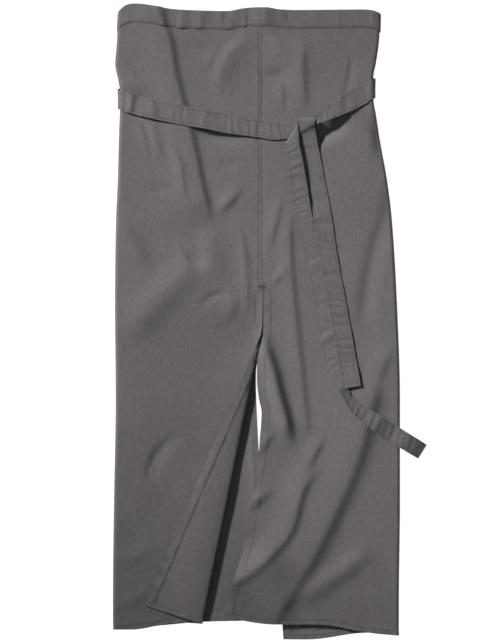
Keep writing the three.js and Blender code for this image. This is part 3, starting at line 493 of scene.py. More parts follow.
# place 0 to 1 is the back, 1 to 2 the side fold and 2 to 3 the front
def body_point(side, place, level):
    place, level = np.broadcast_arrays(np.asarray(place, float), np.asarray(level, float))
    depth = SIDE_DEPTH * INWARD[side]
    fold_x = side_x[side](level)
    back_x = mix(back_edge[side](level), fold_x + depth, np.clip(place, 0, 1))
    back_y = row_y(side, back_x, level, 0)
    back = np.stack([back_x, back_y, back_level(back_y)], axis=-1)
    angle = math.pi * (np.clip(place, 1, 2) - 1.5)
    round_x = fold_x + depth * (1 - np.cos(angle))
    round_y = row_y(side, round_x, level, ease(place - 1))
    middle = (side_top(side, round_y) + back_level(round_y)) / 2
    half = (side_top(side, round_y) - back_level(round_y)) / 2
    turned = np.stack([round_x, round_y, middle + half * np.sin(angle)], axis=-1)
    front_x = mix(fold_x + depth, inner_edge(side, level), np.clip(place, 2, 3) - 2)
    front = front_point(side, front_x, level)
    under = (place <= 1)[..., None]
    return np.where(under, back, np.where((place < 2)[..., None], turned, front))


middle_front = body_point("right", 2.5, 200.0)
print("middle of the right front, mm:", np.round(middle_front, 1))

# %% [markdown]
# ## From a grid of points to cloth
# A sheet is a grid of points. Each point is moved out along the normal by half a wall, and a copy of
# it back in by a whole wall. With the rim closed that is a thin closed cloth, and its hems can be
# thicker than the rest. The flat position of every point is kept in a UV map called "cloth", in
# metres, so that the weave follows the cloth round its folds.

# %% Mesh helpers
def unit(vectors):
    return vectors / np.maximum(np.linalg.norm(vectors, axis=-1, keepdims=True), 1e-9)


def grid_normals(points, outward):
    run = np.gradient(points, axis=1)
    rise = -np.gradient(points, axis=0)
    return unit(np.cross(run, rise)) * outward


def quads(a, b, c, d):
    return np.stack([a.ravel(), b.ravel(), c.ravel(), d.ravel()], axis=1)


def mesh_object(name, points, faces, flat, sharp_angle=50):
    mesh = bpy.data.meshes.new(name)
    mesh.from_pydata((points * MM).tolist(), [], [list(face) for face in faces])
    layer = mesh.uv_layers.new(name="cloth")
    corners = np.array([loop.vertex_index for loop in mesh.loops])
    layer.data.foreach_set("uv", (flat * MM)[corners].astype(np.float32).ravel())
    mesh.polygons.foreach_set("use_smooth", np.ones(len(mesh.polygons), bool))
    mesh.set_sharp_from_angle(angle=math.radians(sharp_angle))
    mesh.update()
    made = bpy.data.objects.new(name, mesh)
    bpy.context.scene.collection.objects.link(made)
    return made


def cloth_shell(name, points, normals, wall, face, flat, outward):
    rows, columns = points.shape[:2]
    outer = points + normals * face
    inner = outer - normals * wall[..., None]
    top = np.arange(rows * columns).reshape(rows, columns)
    low = top + rows * columns
    faces = np.concatenate([
        quads(top[:-1, :-1], top[1:, :-1], top[1:, 1:], top[:-1, 1:]),
        quads(low[:-1, :-1], low[:-1, 1:], low[1:, 1:], low[1:, :-1]),
        quads(top[1:, 0], top[:-1, 0], low[:-1, 0], low[1:, 0]),
        quads(top[:-1, -1], top[1:, -1], low[1:, -1], low[:-1, -1]),
        quads(top[0, :-1], top[0, 1:], low[0, 1:], low[0, :-1]),
        quads(top[-1, 1:], top[-1, :-1], low[-1, :-1], low[-1, 1:]),
    ])
    if outward < 0:
        faces = faces[:, ::-1]
    both = np.concatenate([outer.reshape(-1, 3), inner.reshape(-1, 3)])
    return mesh_object(name, both, faces, np.concatenate([flat.reshape(-1, 2)] * 2))


# %% [markdown]
# ## The two panels
# Rows run across the apron from the waist to the hem, and columns from the back edge round to the
# middle. They lie closer together where the cloth is turned in for a hem, so that the thicker band
# and the row of stitches in it can show. The hidden back needs only a few columns.

# %% Rows and columns of a panel
BAND_HEIGHT, BAND_COVER, TUCK_IN = 26, 2, 3.2
BOTTOM_HEM_WIDTH, SPLIT_HEM_WIDTH, SEAM_WIDTH, BACK_HEM_WIDTH, HEM_STEP = 8, 12, 7, 10, 1.2
ROW_STEP, BAND_ROWS = 2.8, 8
BACK_COLUMNS, SIDE_COLUMNS, HEM_COLUMNS = 16, 10, 6
LEFT_FRONT_COLUMNS, RIGHT_FRONT_COLUMNS, ROLL_COLUMNS, FLAP_COLUMNS = 64, 80, 20, 20
FLAP_STRIP, ROLL_SPARE = 27, 1.5


def row_levels():
    band_end = WAIST_LEVEL - BAND_HEIGHT - BAND_COVER
    hem_start = HEM_LEVEL + BOTTOM_HEM_WIDTH + HEM_STEP
    count = round((band_end - hem_start) / ROW_STEP)
    above = np.linspace(WAIST_LEVEL - TUCK_IN, band_end + HEM_STEP, BAND_ROWS)
    hem = HEM_LEVEL + BOTTOM_HEM_WIDTH * np.linspace(1, 0, HEM_COLUMNS)
    return np.concatenate([above, np.linspace(band_end, hem_start, count), hem])


def back_places(side, level):
    width = np.abs(side_x[side](level) - back_edge[side](level)) - SIDE_DEPTH
    hem = np.linspace(0, BACK_HEM_WIDTH, HEM_COLUMNS)
    first = (BACK_HEM_WIDTH + HEM_STEP) / width[:, None]
    flat = mix(first, 1.0, np.linspace(0, 1, BACK_COLUMNS))
    turn = 1 + np.arange(1, SIDE_COLUMNS) / SIDE_COLUMNS
    return beside(np.outer(1 / width, hem), flat, np.tile(turn, (len(level), 1))), width


def front_stops(side, level):
    edge = inner_edge(side, level)
    start = side_x[side](level) + SIDE_DEPTH * INWARD[side]
    width = np.where(level > SPLIT_TOP, SEAM_WIDTH, SPLIT_HEM_WIDTH)
    hem = edge[:, None] - INWARD[side] * width[:, None] * np.linspace(1, 0, HEM_COLUMNS)
    hem_start = edge - (SPLIT_HEM_WIDTH + HEM_STEP) * INWARD[side]
    part = lambda a, b, count: mix(a[:, None], b[:, None], np.linspace(0, 1, count + 1)[None, 1:])
    if side == "right":
        plain = part(start, hem_start, RIGHT_FRONT_COLUMNS)
        return beside(start[:, None], plain, hem)
    bend = np.minimum(bend_x(row_y(side, bend_x(level), level, 1)), edge - FLAP_STRIP)
    roll = np.minimum(ROLL_LENGTH / math.cos(FLAP_LEAN), hem_start - bend - ROLL_SPARE)
    even_turn = np.linspace(-math.pi / 2, math.pi / 2, ROLL_COLUMNS + 1)[1:]
    roll_share = np.interp(even_turn, ROLL_TURN, ROLL_ARC) / ROLL_LENGTH
    return beside(
        start[:, None],
        part(start, bend, LEFT_FRONT_COLUMNS),
        bend[:, None] + roll[:, None] * roll_share,
        part(bend + roll, hem_start, FLAP_COLUMNS),
        hem,
    )


levels = row_levels()
left_columns = back_places("left", levels)[0].shape[1] + front_stops("left", levels).shape[1]
print("rows:", len(levels), "columns of the left panel:", left_columns)

# %% [markdown]
# A hem is cloth turned in twice and sewn down, so its wall is nearly twice as thick, and the
# stitching pulls small puckers into it. The puckers are a slight ripple in the height of the hem.

# %% Make the panels
PUCKER = 0.4
PUCKER_KIND = (9, 9, 21)
SLACK, NO_SEAM = 0.01, -1


def hem_walls(side, level, from_back, from_inner):
    in_band = (level >= WAIST_LEVEL - BAND_HEIGHT - BAND_COVER)[:, None]
    seam = SEAM_WIDTH if side == "left" else NO_SEAM
    inner_width = np.where(level > SPLIT_TOP, seam, SPLIT_HEM_WIDTH)[:, None]
    in_bottom = (level <= HEM_LEVEL + BOTTOM_HEM_WIDTH + SLACK)[:, None]
    in_hem = in_bottom | (from_back <= BACK_HEM_WIDTH + SLACK) | (from_inner <= inner_width + SLACK)
    return np.where(in_hem & ~in_band, HEM, CLOTH), in_hem & ~in_band


def make_panel(side):
    places, width = back_places(side, levels)
    stops = front_stops(side, levels)
    hidden = body_point(side, places, levels[:, None])
    shown = front_point(side, stops, np.broadcast_to(levels[:, None], stops.shape))
    points = beside(hidden, shown)
    from_back = beside(places * width[:, None], np.full(stops.shape, np.inf))
    to_edge = np.abs(stops - inner_edge(side, levels)[:, None])
    from_inner = beside(np.full(places.shape, np.inf), to_edge)
    wall, hemmed = hem_walls(side, levels, from_back, from_inner)
    normals = grid_normals(points, INWARD[side])
    lying = beside(places <= 1, np.zeros(stops.shape, bool))
    normals[lying] = (0, 0, -1)
    step = np.linalg.norm(np.diff(hidden, axis=1), axis=-1)
    arc = beside(np.zeros((len(levels), 1)), np.cumsum(step, axis=1))
    hidden_u = stops[:, :1] - INWARD[side] * (arc[:, -1:] - arc)
    flat_u = beside(hidden_u, stops)
    flat_v = np.broadcast_to(levels[:, None], flat_u.shape)
    ripple = PUCKER * swells(flat_u, flat_v, *PUCKER_KIND) * (hemmed & ~lying)
    points += normals * ripple[..., None]
    flat = np.stack([flat_u, flat_v], axis=-1)
    made = cloth_shell(side + "_front_panel", points, normals, wall, CLOTH / 2, flat, INWARD[side])
    widest = float(np.ptp(flat_u, axis=1).max())
    print(made.name, len(made.data.polygons), "faces, widest", round(widest), "mm")
    outer = points + normals * CLOTH / 2
    faces = {"outer": (outer, normals), "inner": (outer - normals * wall[..., None], -normals)}
    return made, {"faces": faces, "from_inner": from_inner, "first_front": places.shape[1]}


panels, panel_grids = {}, {}
for side in SIDES:
    panels[side], panel_grids[side] = make_panel(side)

# %% [markdown]
# ## Waistband
# The band is a strip folded over the top edges of both panels, from one back edge round to the
# other. Its section is a narrow upside-down U with a soft top, carried along the cloth. Small
# upright puckers show where the sewing has drawn it in.

# %% Make the waistband
BAND_PLY, BAND_SLOT, BAND_TOP, BAND_ROUND = 0.9, 1.5, 2.2, 1.4
BAND_EDGE = 0.4
FACE_STEPS, ROUND_STEPS, INSIDE_STEPS, ROUND_TURN = 11, 7, 4, 1.3
GATHER_PLACES, GATHER_SPREAD, GATHER_HEIGHT = (-125, -60, 20), 24, 0.7
BAND_RIPPLE, RIPPLE_FLOOR = 0.5, -0.3
BAND_KIND = (7, 40, 31)
BAND_STITCH_ROW = 2
PROBE, PLACE_PROBE = 0.5, 0.005


def body_frame(side, place, level):
    ahead = body_point(side, np.minimum(place + PLACE_PROBE, 3), level)
    run = ahead - body_point(side, np.maximum(place - PLACE_PROBE, 0), level)
    rise = body_point(side, place, level + PROBE) - body_point(side, place, level - PROBE)
    return body_point(side, place, level), unit(np.cross(run, rise)) * INWARD[side]


def band_profile():
    slot = BAND_SLOT / 2
    outer = slot + BAND_PLY
    face = np.linspace(BAND_HEIGHT, BAND_ROUND, FACE_STEPS)
    turns = np.linspace(ROUND_TURN, -ROUND_TURN, ROUND_STEPS)
    rounded = [(outer * math.sin(a), BAND_ROUND * (1 - math.cos(a))) for a in turns]
    inside = np.linspace(BAND_ROUND, BAND_HEIGHT, INSIDE_STEPS)
    slot_side = [(-slot, BAND_HEIGHT), (-slot, BAND_TOP), (slot, BAND_TOP), (slot, BAND_HEIGHT)]
    lower = [(slot + BAND_EDGE, BAND_HEIGHT), (outer, BAND_HEIGHT - BAND_ROUND)]
    front = lower + [(outer, d) for d in face[1:]]
    return np.array(front + rounded + [(-outer, d) for d in inside] + slot_side)


def band_stations(side):
    level = np.array([WAIST_LEVEL - BAND_HEIGHT])
    start = side_x[side](level) + SIDE_DEPTH * INWARD[side]
    front = 2 + (front_stops(side, level)[0] - start) / (inner_edge(side, level) - start)
    return np.concatenate([back_places(side, level)[0][0], front])


def make_waistband():
    profile = band_profile()
    rings = []
    for side in SIDES:
        place = band_stations(side)[None, :]
        drop = profile[:, 1][:, None]
        places = np.broadcast_to(place, (len(profile), place.size))
        block = body_frame(side, places, WAIST_LEVEL - drop)
        if side == "right":
            block = tuple(grid[:, ::-1][:, 1:] for grid in block)
        rings.append(block)
    points, normals = (beside(*grids) for grids in zip(*rings))
    run = reach_along(points[0])
    size, count = points.shape[:2]
    fill = lambda values: np.broadcast_to(values, (size, count))
    offset, drop, along = fill(profile[:, :1]), fill(profile[:, 1:]), fill(run)
    away = [(points[..., 0] - x) / GATHER_SPREAD for x in GATHER_PLACES]
    gather = BAND_RIPPLE + sum(GATHER_HEIGHT * np.exp(-(far**2)) for far in away)
    pucker = gather * swells(along, drop, *BAND_KIND) * (offset > BAND_SLOT / 2)
    points = points + normals * (offset + np.maximum(pucker, RIPPLE_FLOOR))[..., None]
    index = np.arange(size * count).reshape(size, count)
    ahead = np.roll(index, -1, axis=0)
    sides = quads(ahead[:, :-1], index[:, :-1], index[:, 1:], ahead[:, 1:])
    ends = [index[::-1, -1].tolist(), index[:, 0].tolist()]
    flat = np.stack([along, drop], axis=-1).reshape(-1, 2)
    made = mesh_object("folded_waistband", points.reshape(-1, 3), sides.tolist() + ends, flat)
    print(made.name, len(made.data.polygons), "faces, length", round(float(run[-1])), "mm")
    return made, (points[BAND_STITCH_ROW], normals[BAND_STITCH_ROW])


waistband, band_row = make_waistband()

# %% [markdown]
# ## Ties
# Each tie starts under the end of the band at the back, goes round a side, crosses the front and
# is knotted with the other. A row of the table is a station on its middle line. Rest 1 counts its
# lift from the front cloth below it and rest 0 from the table top. Across is the bearing from one
# edge of the tie to the other, and tilt stands it on edge where it twists.

# %% Stations of the ties
TIE_COLUMNS = "x y rest span lift width across tilt"
LEFT_TIE_BACK = table(
    TIE_COLUMNS,
    (16, 425, 0, 0, 2.75, 27, 91, 0),
    (2, 425, 0, 0, 2.75, 27, 95, 0),
    (-14, 419, 0, 0, 2.75, 27, 109, 0),
    (-38, 405, 0, 0, 2.75, 27, 119, 0),
    (-64, 390.5, 0, 0, 2.75, 27, 119, 0),
    (-94, 374.5, 0, 0, 0.9, 27, 117, 0),
    (-150, 347, 0, 0, 0.9, 27, 116, 0),
    (-188, 329, 0, 0, 1.6, 27, 110, 0),
)
LEFT_TIE_FRONT = table(
    TIE_COLUMNS,
    (-195, 309, 1, 30, 1.9, 27, 78, 0),
    (-172, 303, 1, 45, 1.8, 27, 78, 0),
    (-121, 292.5, 1, 60, 1.8, 27, 79, 0),
    (-91, 287.5, 1, 60, 1.4, 27, 79, 0),
    (-58, 280.5, 1, 60, 0.2, 26, 80, 0),
    (-14, 274, 1, 50, 1.2, 25, 81, 0),
    (7, 270.5, 1, 40, 1.6, 24, 86, 0),
    (21, 270.5, 1, 30, 1.6, 22, 97, 0),
    (36, 273.5, 1, 20, 1.6, 21, 128, 0),
    (46, 279, 1, 20, 1.6, 21, 155, 0),
    (51.5, 284.5, 1, 20, 1.7, 22, 172, 0),
    (52.6, 289.6, 1, 20, 4.5, 21.5, 180, 0),
    (52.6, 285.5, 1, 20, 7.2, 21.5, 180, 0),
    (52.5, 279, 1, 20, 7.4, 21.5, 188, 0),
    (52.6, 275.4, 1, 20, 7, 22, 201, 0),
    (52.8, 272.6, 1, 20, 5.2, 22.5, 205, 0),
    (53.2, 268.5, 1, 20, 3.5, 23, 201, 0),
    (54.5, 258, 1, 20, 2.7, 24, 190, 0),
    (56, 246, 1, 16, 2.1, 25, 187, 0),
    (59, 230, 1, 16, 1.8, 26, 189, 0),
    (63, 209, 1, 9, 1.2, 26, 190, 0),
    (70, 173, 1, 9, 1.2, 26, 190, 0),
    (76, 138, 1, 9, 1.5, 26, 190, 5),
    (82, 97, 1, 9, 1.6, 26, 190, 5),
    (93, 37, 1, 9, 1.6, 26, 190, 5),
    (107, -40, 1, 9, 1.8, 26, 190, 5),
    (116, -92.5, 1, 9, 2.6, 26, 190, 5),
)
RIGHT_TIE_BACK = table(
    TIE_COLUMNS,
    (-94, 425, 0, 0, 2.75, 27, 89, 0),
    (-80, 425, 0, 0, 2.75, 27, 85, 0),
    (-64, 421, 0, 0, 1.1, 27, 73, 0),
    (-46, 414, 0, 0, 0.85, 27, 66, 0),
    (-20, 402, 0, 0, 0.85, 27, 64, 0),
    (50, 370, 0, 0, 0.85, 27, 65, 0),
    (122, 340, 0, 0, 1.6, 27, 70, 0),
)
RIGHT_TIE_FRONT = table(
    TIE_COLUMNS,
    (132, 323, 1, 20, 1.6, 27, 117, 0),
    (121, 317, 1, 20, 2.6, 27, 118, 0),
    (103, 306.5, 1, 20, 6, 23, 118, 0),
    (82, 294.5, 1, 20, 7.4, 16, 116, 0),
    (67, 283.6, 1, 20, 5, 6.5, 113, 0),
    (53, 280.6, 1, 20, 4.5, 7, 112, 0),
    (45, 278, 1, 20, 4.5, 9, 103, 0),
    (33, 267, 1, 20, 4.5, 31, 60, 0),
    (30.5, 266.5, 1, 20, 6.4, 32, 57, 0),
    (31.5, 263, 1, 20, 8.4, 28, 56, 0),
    (32, 249, 1, 20, 8.4, 20, 17, 0),
    (35.5, 230, 1, 16, 8, 21, 8, 0),
    (41.5, 187, 1, 16, 6, 24, 8, 0),
    (51.5, 131, 1, 16, 2, 24, 11, 0),
    (71, 50, 1, 16, 1.5, 25, 12, 0),
    (84, -30, 1, 16, 1.5, 25, 11, 0),
    (89.5, -58, 1, 16, 1.5, 24, 14, -4),
    (96.5, -80, 1, 16, 1.5, 21, 22, -12),
    (109, -106, 1, 16, 1.5, 15, 34, -34),
    (123.5, -123, 1, 16, 1.5, 19, 46, -16),
    (146, -140, 1, 16, 1.5, 23, 54, -3),
    (168, -154, 1, 16, 1.5, 24, 57, 0),
    (186, -165.5, 0, 16, 15.4, 24, 57, 0),
    (204, -176.5, 0, 16, 10.5, 24, 57, 0),
    (217, -184.5, 0, 16, 5.0, 23, 58, 0),
)
print("tie stations:", len(LEFT_TIE_FRONT["x"]), "and", len(RIGHT_TIE_FRONT["x"]), "across the front")

# %% [markdown]
# A tie bridges the valleys and touches only the highest cloth around it, so that height is worked
# out first: the highest cloth within the row's span, averaged over the neighbourhood. The knot is a
# loop of the left tie that comes up behind the right one and turns down over it. The tape is then a
# thin band across its middle line, with cross creases where it was folded and pulled.

# %% Route of a tie
TIE_WIDTH, TIE_THICKNESS, SIDE_GAP = 27, 1.2, 1.8
REST_STEP = 4
SIDE_TURNS = (-90, -45, 0, 45, 90)
LEFT_SIDE_Y, RIGHT_SIDE_Y = (321, 313), (335, 329)
BRIDGE = np.linspace(-1, 1, 7)
SMOOTH = np.linspace(-0.5, 0.5, 3)
TAPE = TIE_WIDTH * np.linspace(-0.5, 0.5, 5)


def round_side(side, y_below, y_above):
    offset = CLOTH / 2 + SIDE_GAP + TIE_THICKNESS / 2
    inward, rows = INWARD[side], []
    for share, degrees in zip(np.linspace(0, 1, len(SIDE_TURNS)), SIDE_TURNS):
        angle, y = math.radians(degrees), mix(y_below, y_above, share)
        widest = inward * np.min(inward * side_x[side](y + TAPE))
        x = widest + SIDE_DEPTH * inward - (SIDE_DEPTH + offset) * math.cos(angle) * inward
        top, low = side_top(side, y), back_level(y)
        middle, half = (top + low) / 2, (top - low) / 2 + offset
        rows.append((x, y, 0, 0, middle + half * math.sin(angle), TIE_WIDTH, 90, 0))
    return table(TIE_COLUMNS, *rows)


def rest_height(x, y, span):
    x, y, span = (np.asarray(v)[:, None, None, None, None] for v in (x, y, span))
    near_x = x + span * (SMOOTH[:, None, None, None] + BRIDGE[:, None])
    near_y = y + span * (SMOOTH[:, None, None] + BRIDGE)
    near_x, near_y = np.broadcast_arrays(near_x, near_y)
    left, right = (front_height(side, near_x, near_y) for side in SIDES)
    cloth = np.where(near_x < SEAM_X, left, right)
    return cloth.max(axis=(3, 4)).mean(axis=(1, 2))


def tie_route(*tables):
    names = TIE_COLUMNS.split()
    rows = {name: np.concatenate([part[name] for part in tables]) for name in names}
    same = np.diff(rows["rest"]) == 0
    climb = np.where(same, np.diff(rows["lift"]), 0)
    legs = np.sqrt(np.diff(rows["x"]) ** 2 + np.diff(rows["y"]) ** 2 + climb**2)
    rows["run"] = np.concatenate([[0], np.cumsum(legs)])
    columns = {name: curve(rows, "run", name) for name in names}
    length = rows["run"][-1]
    count = math.ceil(length / REST_STEP)
    at = np.linspace(0, length, count + 1)
    rest = rest_height(columns["x"](at), columns["y"](at), columns["span"](at))
    return columns, length, lambda run: np.interp(run, at, rest)


left_route = tie_route(LEFT_TIE_BACK, round_side("left", *LEFT_SIDE_Y), LEFT_TIE_FRONT)
right_route = tie_route(RIGHT_TIE_BACK, round_side("right", *RIGHT_SIDE_Y), RIGHT_TIE_FRONT)
print("tie lengths, mm:", round(left_route[1]), round(right_route[1]))

# %% Make the ties
TIE_STEP = 2.0
TIE_PARTS = np.array([1, 0.9, 0.81, 0.75, 0.69, 0.6, 0.3])
TIE_FURROW, FURROW_AT, FURROW_COLUMN = 0.3, 0.75, 3
RIM_FROM, RIM_THIN = 0.99, 0.7
CREASE, CREASE_FLOOR, CREASE_FROM = 0.6, -0.5, 6
CREASE_LEAN, CREASE_SPREAD = 3, 20
CREASE_KIND = (4, 30, 41)


def tie_frame(route, run):
    columns, length, rest = route

    def centre(at):
        at = np.clip(at, 0, length)
        stand = columns["width"](at) / 2 * np.abs(np.sin(np.radians(columns["tilt"](at))))
        height = columns["rest"](at) * rest(at) + columns["lift"](at) + stand
        return np.stack([columns["x"](at), columns["y"](at), height], axis=-1)

    bearing, tilt = np.radians(columns["across"](run)), np.radians(columns["tilt"](run))
    level = np.cos(tilt)
    across = np.stack([np.cos(bearing) * level, np.sin(bearing) * level, np.sin(tilt)], axis=-1)
    ahead = centre(run + PROBE) - centre(run - PROBE)
    return centre(run), across, unit(np.cross(ahead, across)), columns["width"](run)


def make_tie(name, route):
    run = np.linspace(0, route[1], round(route[1] / TIE_STEP) + 1)
    part = np.concatenate([TIE_PARTS, [0], -TIE_PARTS[::-1]])[None, :]
    middle, across, normal, width = tie_frame(route, run)
    points = middle[:, None] + across[:, None] * (width[:, None] * part / 2)[..., None]
    normals = np.broadcast_to(normal[:, None], points.shape)
    along, over = np.broadcast_arrays(run[:, None], part)
    crossing = swells(along + CREASE_LEAN * over, CREASE_SPREAD * over, *CREASE_KIND)
    free = ease((middle[:, 2:] - CREASE_FROM) / CREASE_FROM)
    crease = CREASE * free * np.maximum(crossing, CREASE_FLOOR)
    points = points + normals * crease[..., None]
    sewn = np.isclose(np.abs(part), FURROW_AT)
    thin = np.where(np.abs(part) > RIM_FROM, RIM_THIN, 1.0) - 2 * TIE_FURROW / TIE_THICKNESS * sewn
    wall = np.broadcast_to(TIE_THICKNESS * thin, along.shape)
    flat = np.stack([over * TIE_WIDTH / 2, along], axis=-1)
    made = cloth_shell(name, points, normals, wall, wall[..., None] / 2, flat, -1)
    print(name, len(made.data.polygons), "faces, length", round(route[1]), "mm")
    half = normals * (TIE_THICKNESS / 2 - TIE_FURROW)
    return made, ((points + half, normals), (points - half, -normals))


left_tie, left_tie_faces = make_tie("shorter_tie", left_route)
right_tie, right_tie_faces = make_tie("longer_tie", right_route)

# %% [markdown]
# ## Stitches
# Hems, seams and tape edges are sewn with thread, about three millimetres to the stitch. The thread has the
# cloth's grey made a good deal darker, and that darkness is painted shade of the small furrow each stitch
# pulls into the cloth. A stitch could be painted on, but a small lozenge of thread that lies on the cloth
# catches the light as the real one does. The stitches of a piece are one mesh.

# %% Stitch helper
STITCH_PITCH, STITCH_LENGTH, STITCH_WIDTH, STITCH_HEIGHT = 3.2, 2.5, 0.9, 0.3
STITCH_FILL = 0.8
STITCH_RING, STITCH_RINGS = ((1, 0), (0, 1), (-1, 0), (0, -0.4)), (0.25, 0.75)
STITCH_CORNERS = 2 + len(STITCH_RING) * len(STITCH_RINGS)


def stitch_row(points, normals, pitch=STITCH_PITCH):
    reach = reach_along(points)
    middle = (np.arange(int(reach[-1] / pitch)) + 0.5) * pitch
    on = lambda grid, run: np.stack([np.interp(run, reach, grid[:, k]) for k in range(3)], axis=-1)
    half = min(STITCH_LENGTH, STITCH_FILL * pitch) / 2
    start, end = on(points, middle - half), on(points, middle + half)
    up = unit(on(normals, middle))
    side = unit(np.cross(up, end - start))
    ring = [side * STITCH_WIDTH / 2 * a + up * STITCH_HEIGHT * b for a, b in STITCH_RING]
    rings = [mix(start, end, part) + arm for part in STITCH_RINGS for arm in ring]
    return np.stack([start, *rings, end], axis=1)


def stitch_mesh(name, rows):
    corners = np.concatenate([stitch_row(*row) for row in rows])
    size = len(STITCH_RING)
    near = [(1 + k, 1 + (k + 1) % size) for k in range(size)]
    shape = [(0, b, a) for a, b in near]
    shape += [(a, b, b + size, a + size) for a, b in near]
    shape += [(STITCH_CORNERS - 1, a + size, b + size) for a, b in near]
    faces = [[STITCH_CORNERS * i + c for c in face] for i in range(len(corners)) for face in shape]
    points = corners.reshape(-1, 3)
    made = mesh_object(name, points, faces, points[:, :2])
    print(name, len(corners), "stitches")
    return made


# %% [markdown]
# The rows follow the grids of the cloth. On the turned-back flap the wrong side is on top, so its
# row is on the inner face. The ties have a row along each edge and two across the free end.

# %% Sew the panels, the band and the ties
BOTTOM_ROW = -5
TIE_END_ROWS = (-4, -6)
SEAM_INSET, SPLIT_INSET = 6.2, 10.5
BAND_FOOT, TACK_TOP, TACK_FOOT, HEM_TOP = 412, 54, 48, -425
ROLL_START, FLAP_START = -8, -14


def edge_row(side, face, inset, top, bottom):
    grid = panel_grids[side]
    points, normals = grid["faces"][face]
    rows = np.flatnonzero((levels < top) & (levels > bottom))
    shown = slice(grid["first_front"] + 1, None)
    depth = grid["from_inner"][:, shown][:, ::-1]
    at = lambda values, r, k: np.interp(inset, depth[r], values[r, shown, k][::-1])
    pick = lambda values: np.array([[at(values, r, k) for k in range(3)] for r in rows])
    return pick(points), pick(normals)


def hem_row(side, face, columns):
    points, normals = panel_grids[side]["faces"][face]
    return points[BOTTOM_ROW, columns], normals[BOTTOM_ROW, columns]


def tie_rows(faces):
    rows = []
    for points, normals in faces:
        for column in (FURROW_COLUMN, -1 - FURROW_COLUMN):
            rows.append((points[:, column], normals[:, column]))
        rows += [(points[end] + normals[end] * TIE_FURROW, normals[end]) for end in TIE_END_ROWS]
    return rows


flap_columns = FLAP_COLUMNS + HEM_COLUMNS
left_front, right_front = (panel_grids[side]["first_front"] for side in SIDES)
left_rows = [
    edge_row("left", "outer", SEAM_INSET, BAND_FOOT, TACK_TOP),
    edge_row("left", "outer", SPLIT_INSET, TACK_FOOT, ROLL_START),
    edge_row("left", "inner", SPLIT_INSET, FLAP_START, HEM_TOP),
    hem_row("left", "outer", slice(left_front, -flap_columns - ROLL_COLUMNS // 2)),
    hem_row("left", "inner", slice(-flap_columns, None)),
]
right_rows = [
    edge_row("right", "outer", SPLIT_INSET, TACK_FOOT, HEM_TOP),
    hem_row("right", "outer", slice(right_front, None)),
    hem_row("right", "inner", slice(0, right_front - SIDE_COLUMNS)),
]
left_stitches = stitch_mesh("left_panel_stitches", left_rows)
right_stitches = stitch_mesh("right_panel_stitches", right_rows)
band_stitches = stitch_mesh("waistband_stitches", [band_row])
left_tie_stitches = stitch_mesh("shorter_tie_stitches", tie_rows(left_tie_faces))
right_tie_stitches = stitch_mesh("longer_tie_stitches", tie_rows(right_tie_faces))

# %% [markdown]
# The top of the split takes all the strain of a step, so it is held by a bar tack: short rows of
# close stitches that cross on the seam.

# %% Bar tack at the top of the split
TACK_PITCH, TACK_POINTS, TACK_HALF = 1.0, 14, 6.5
TACK_MIDDLE = (SEAM_X - 1.5, 49.5)
TACK_LINES = table("start end", (8.5, -8.5), (-8.5, 8.5), (0, 0), (1.2, 1.2))
UPRIGHT = (0.0, 0.0, 1.0)


def tack_row(start, end):
    part = np.linspace(0, 1, TACK_POINTS)
    x = TACK_MIDDLE[0] + mix(-TACK_HALF, TACK_HALF, part)
    y = TACK_MIDDLE[1] + mix(start, end, part)
    cloth = np.maximum(front_height("left", x, y), front_height("right", x, y))
    points = np.stack([x, y, cloth + CLOTH / 2 + PUCKER], axis=-1)
    return points, np.tile(UPRIGHT, (len(part), 1)), TACK_PITCH


tack_lines = zip(TACK_LINES["start"], TACK_LINES["end"])
bar_tack = stitch_mesh("split_bar_tack", [tack_row(*line) for line in tack_lines])

# %% [markdown]
# ## Twill
# Twill is a weave with fine slanting ribs, here dyed an even grey with a dull face. The ribs are a
# wave along the slant of the flat cloth and the yarns are a noise drawn out along the warp; both
# give colour and a shallow bump. A coarser noise of the same kind is the slubs, and a broad one is
# the slight unevenness of the dye.

# %% Twill material
RIB_PITCH, RIB_SLANT, RIB_WANDER = 0.0009, math.radians(60), 0.6
WAVE_PERIOD = 0.314
YARN_SCALE, SLUB_SCALE, DYE_SCALE = (430, 190, 1), (210, 60, 1), 9
RIB_SHADE, YARN_SHADE, SLUB_SHADE, DYE_SHADE = (0.92, 1.08), (0.7, 1.3), (0.85, 1.15), (0.91, 1.09)
BUMP_STRENGTH, BUMP_DEPTH = 0.35, 0.0002
ROUGHNESS = (0.82, 0.98)
SHEEN, SHEEN_ROUGHNESS, SPECULAR = 0.12, 0.5, 0.2
TWILL_GREY = (0.119, 0.1085, 0.1105)
# The thread's tone darkens it a good deal: painted shade of the furrows that the stitches pull into the
# cloth.
BAND_TONE, THREAD_PAINTED_SHADE = 0.97, 0.3


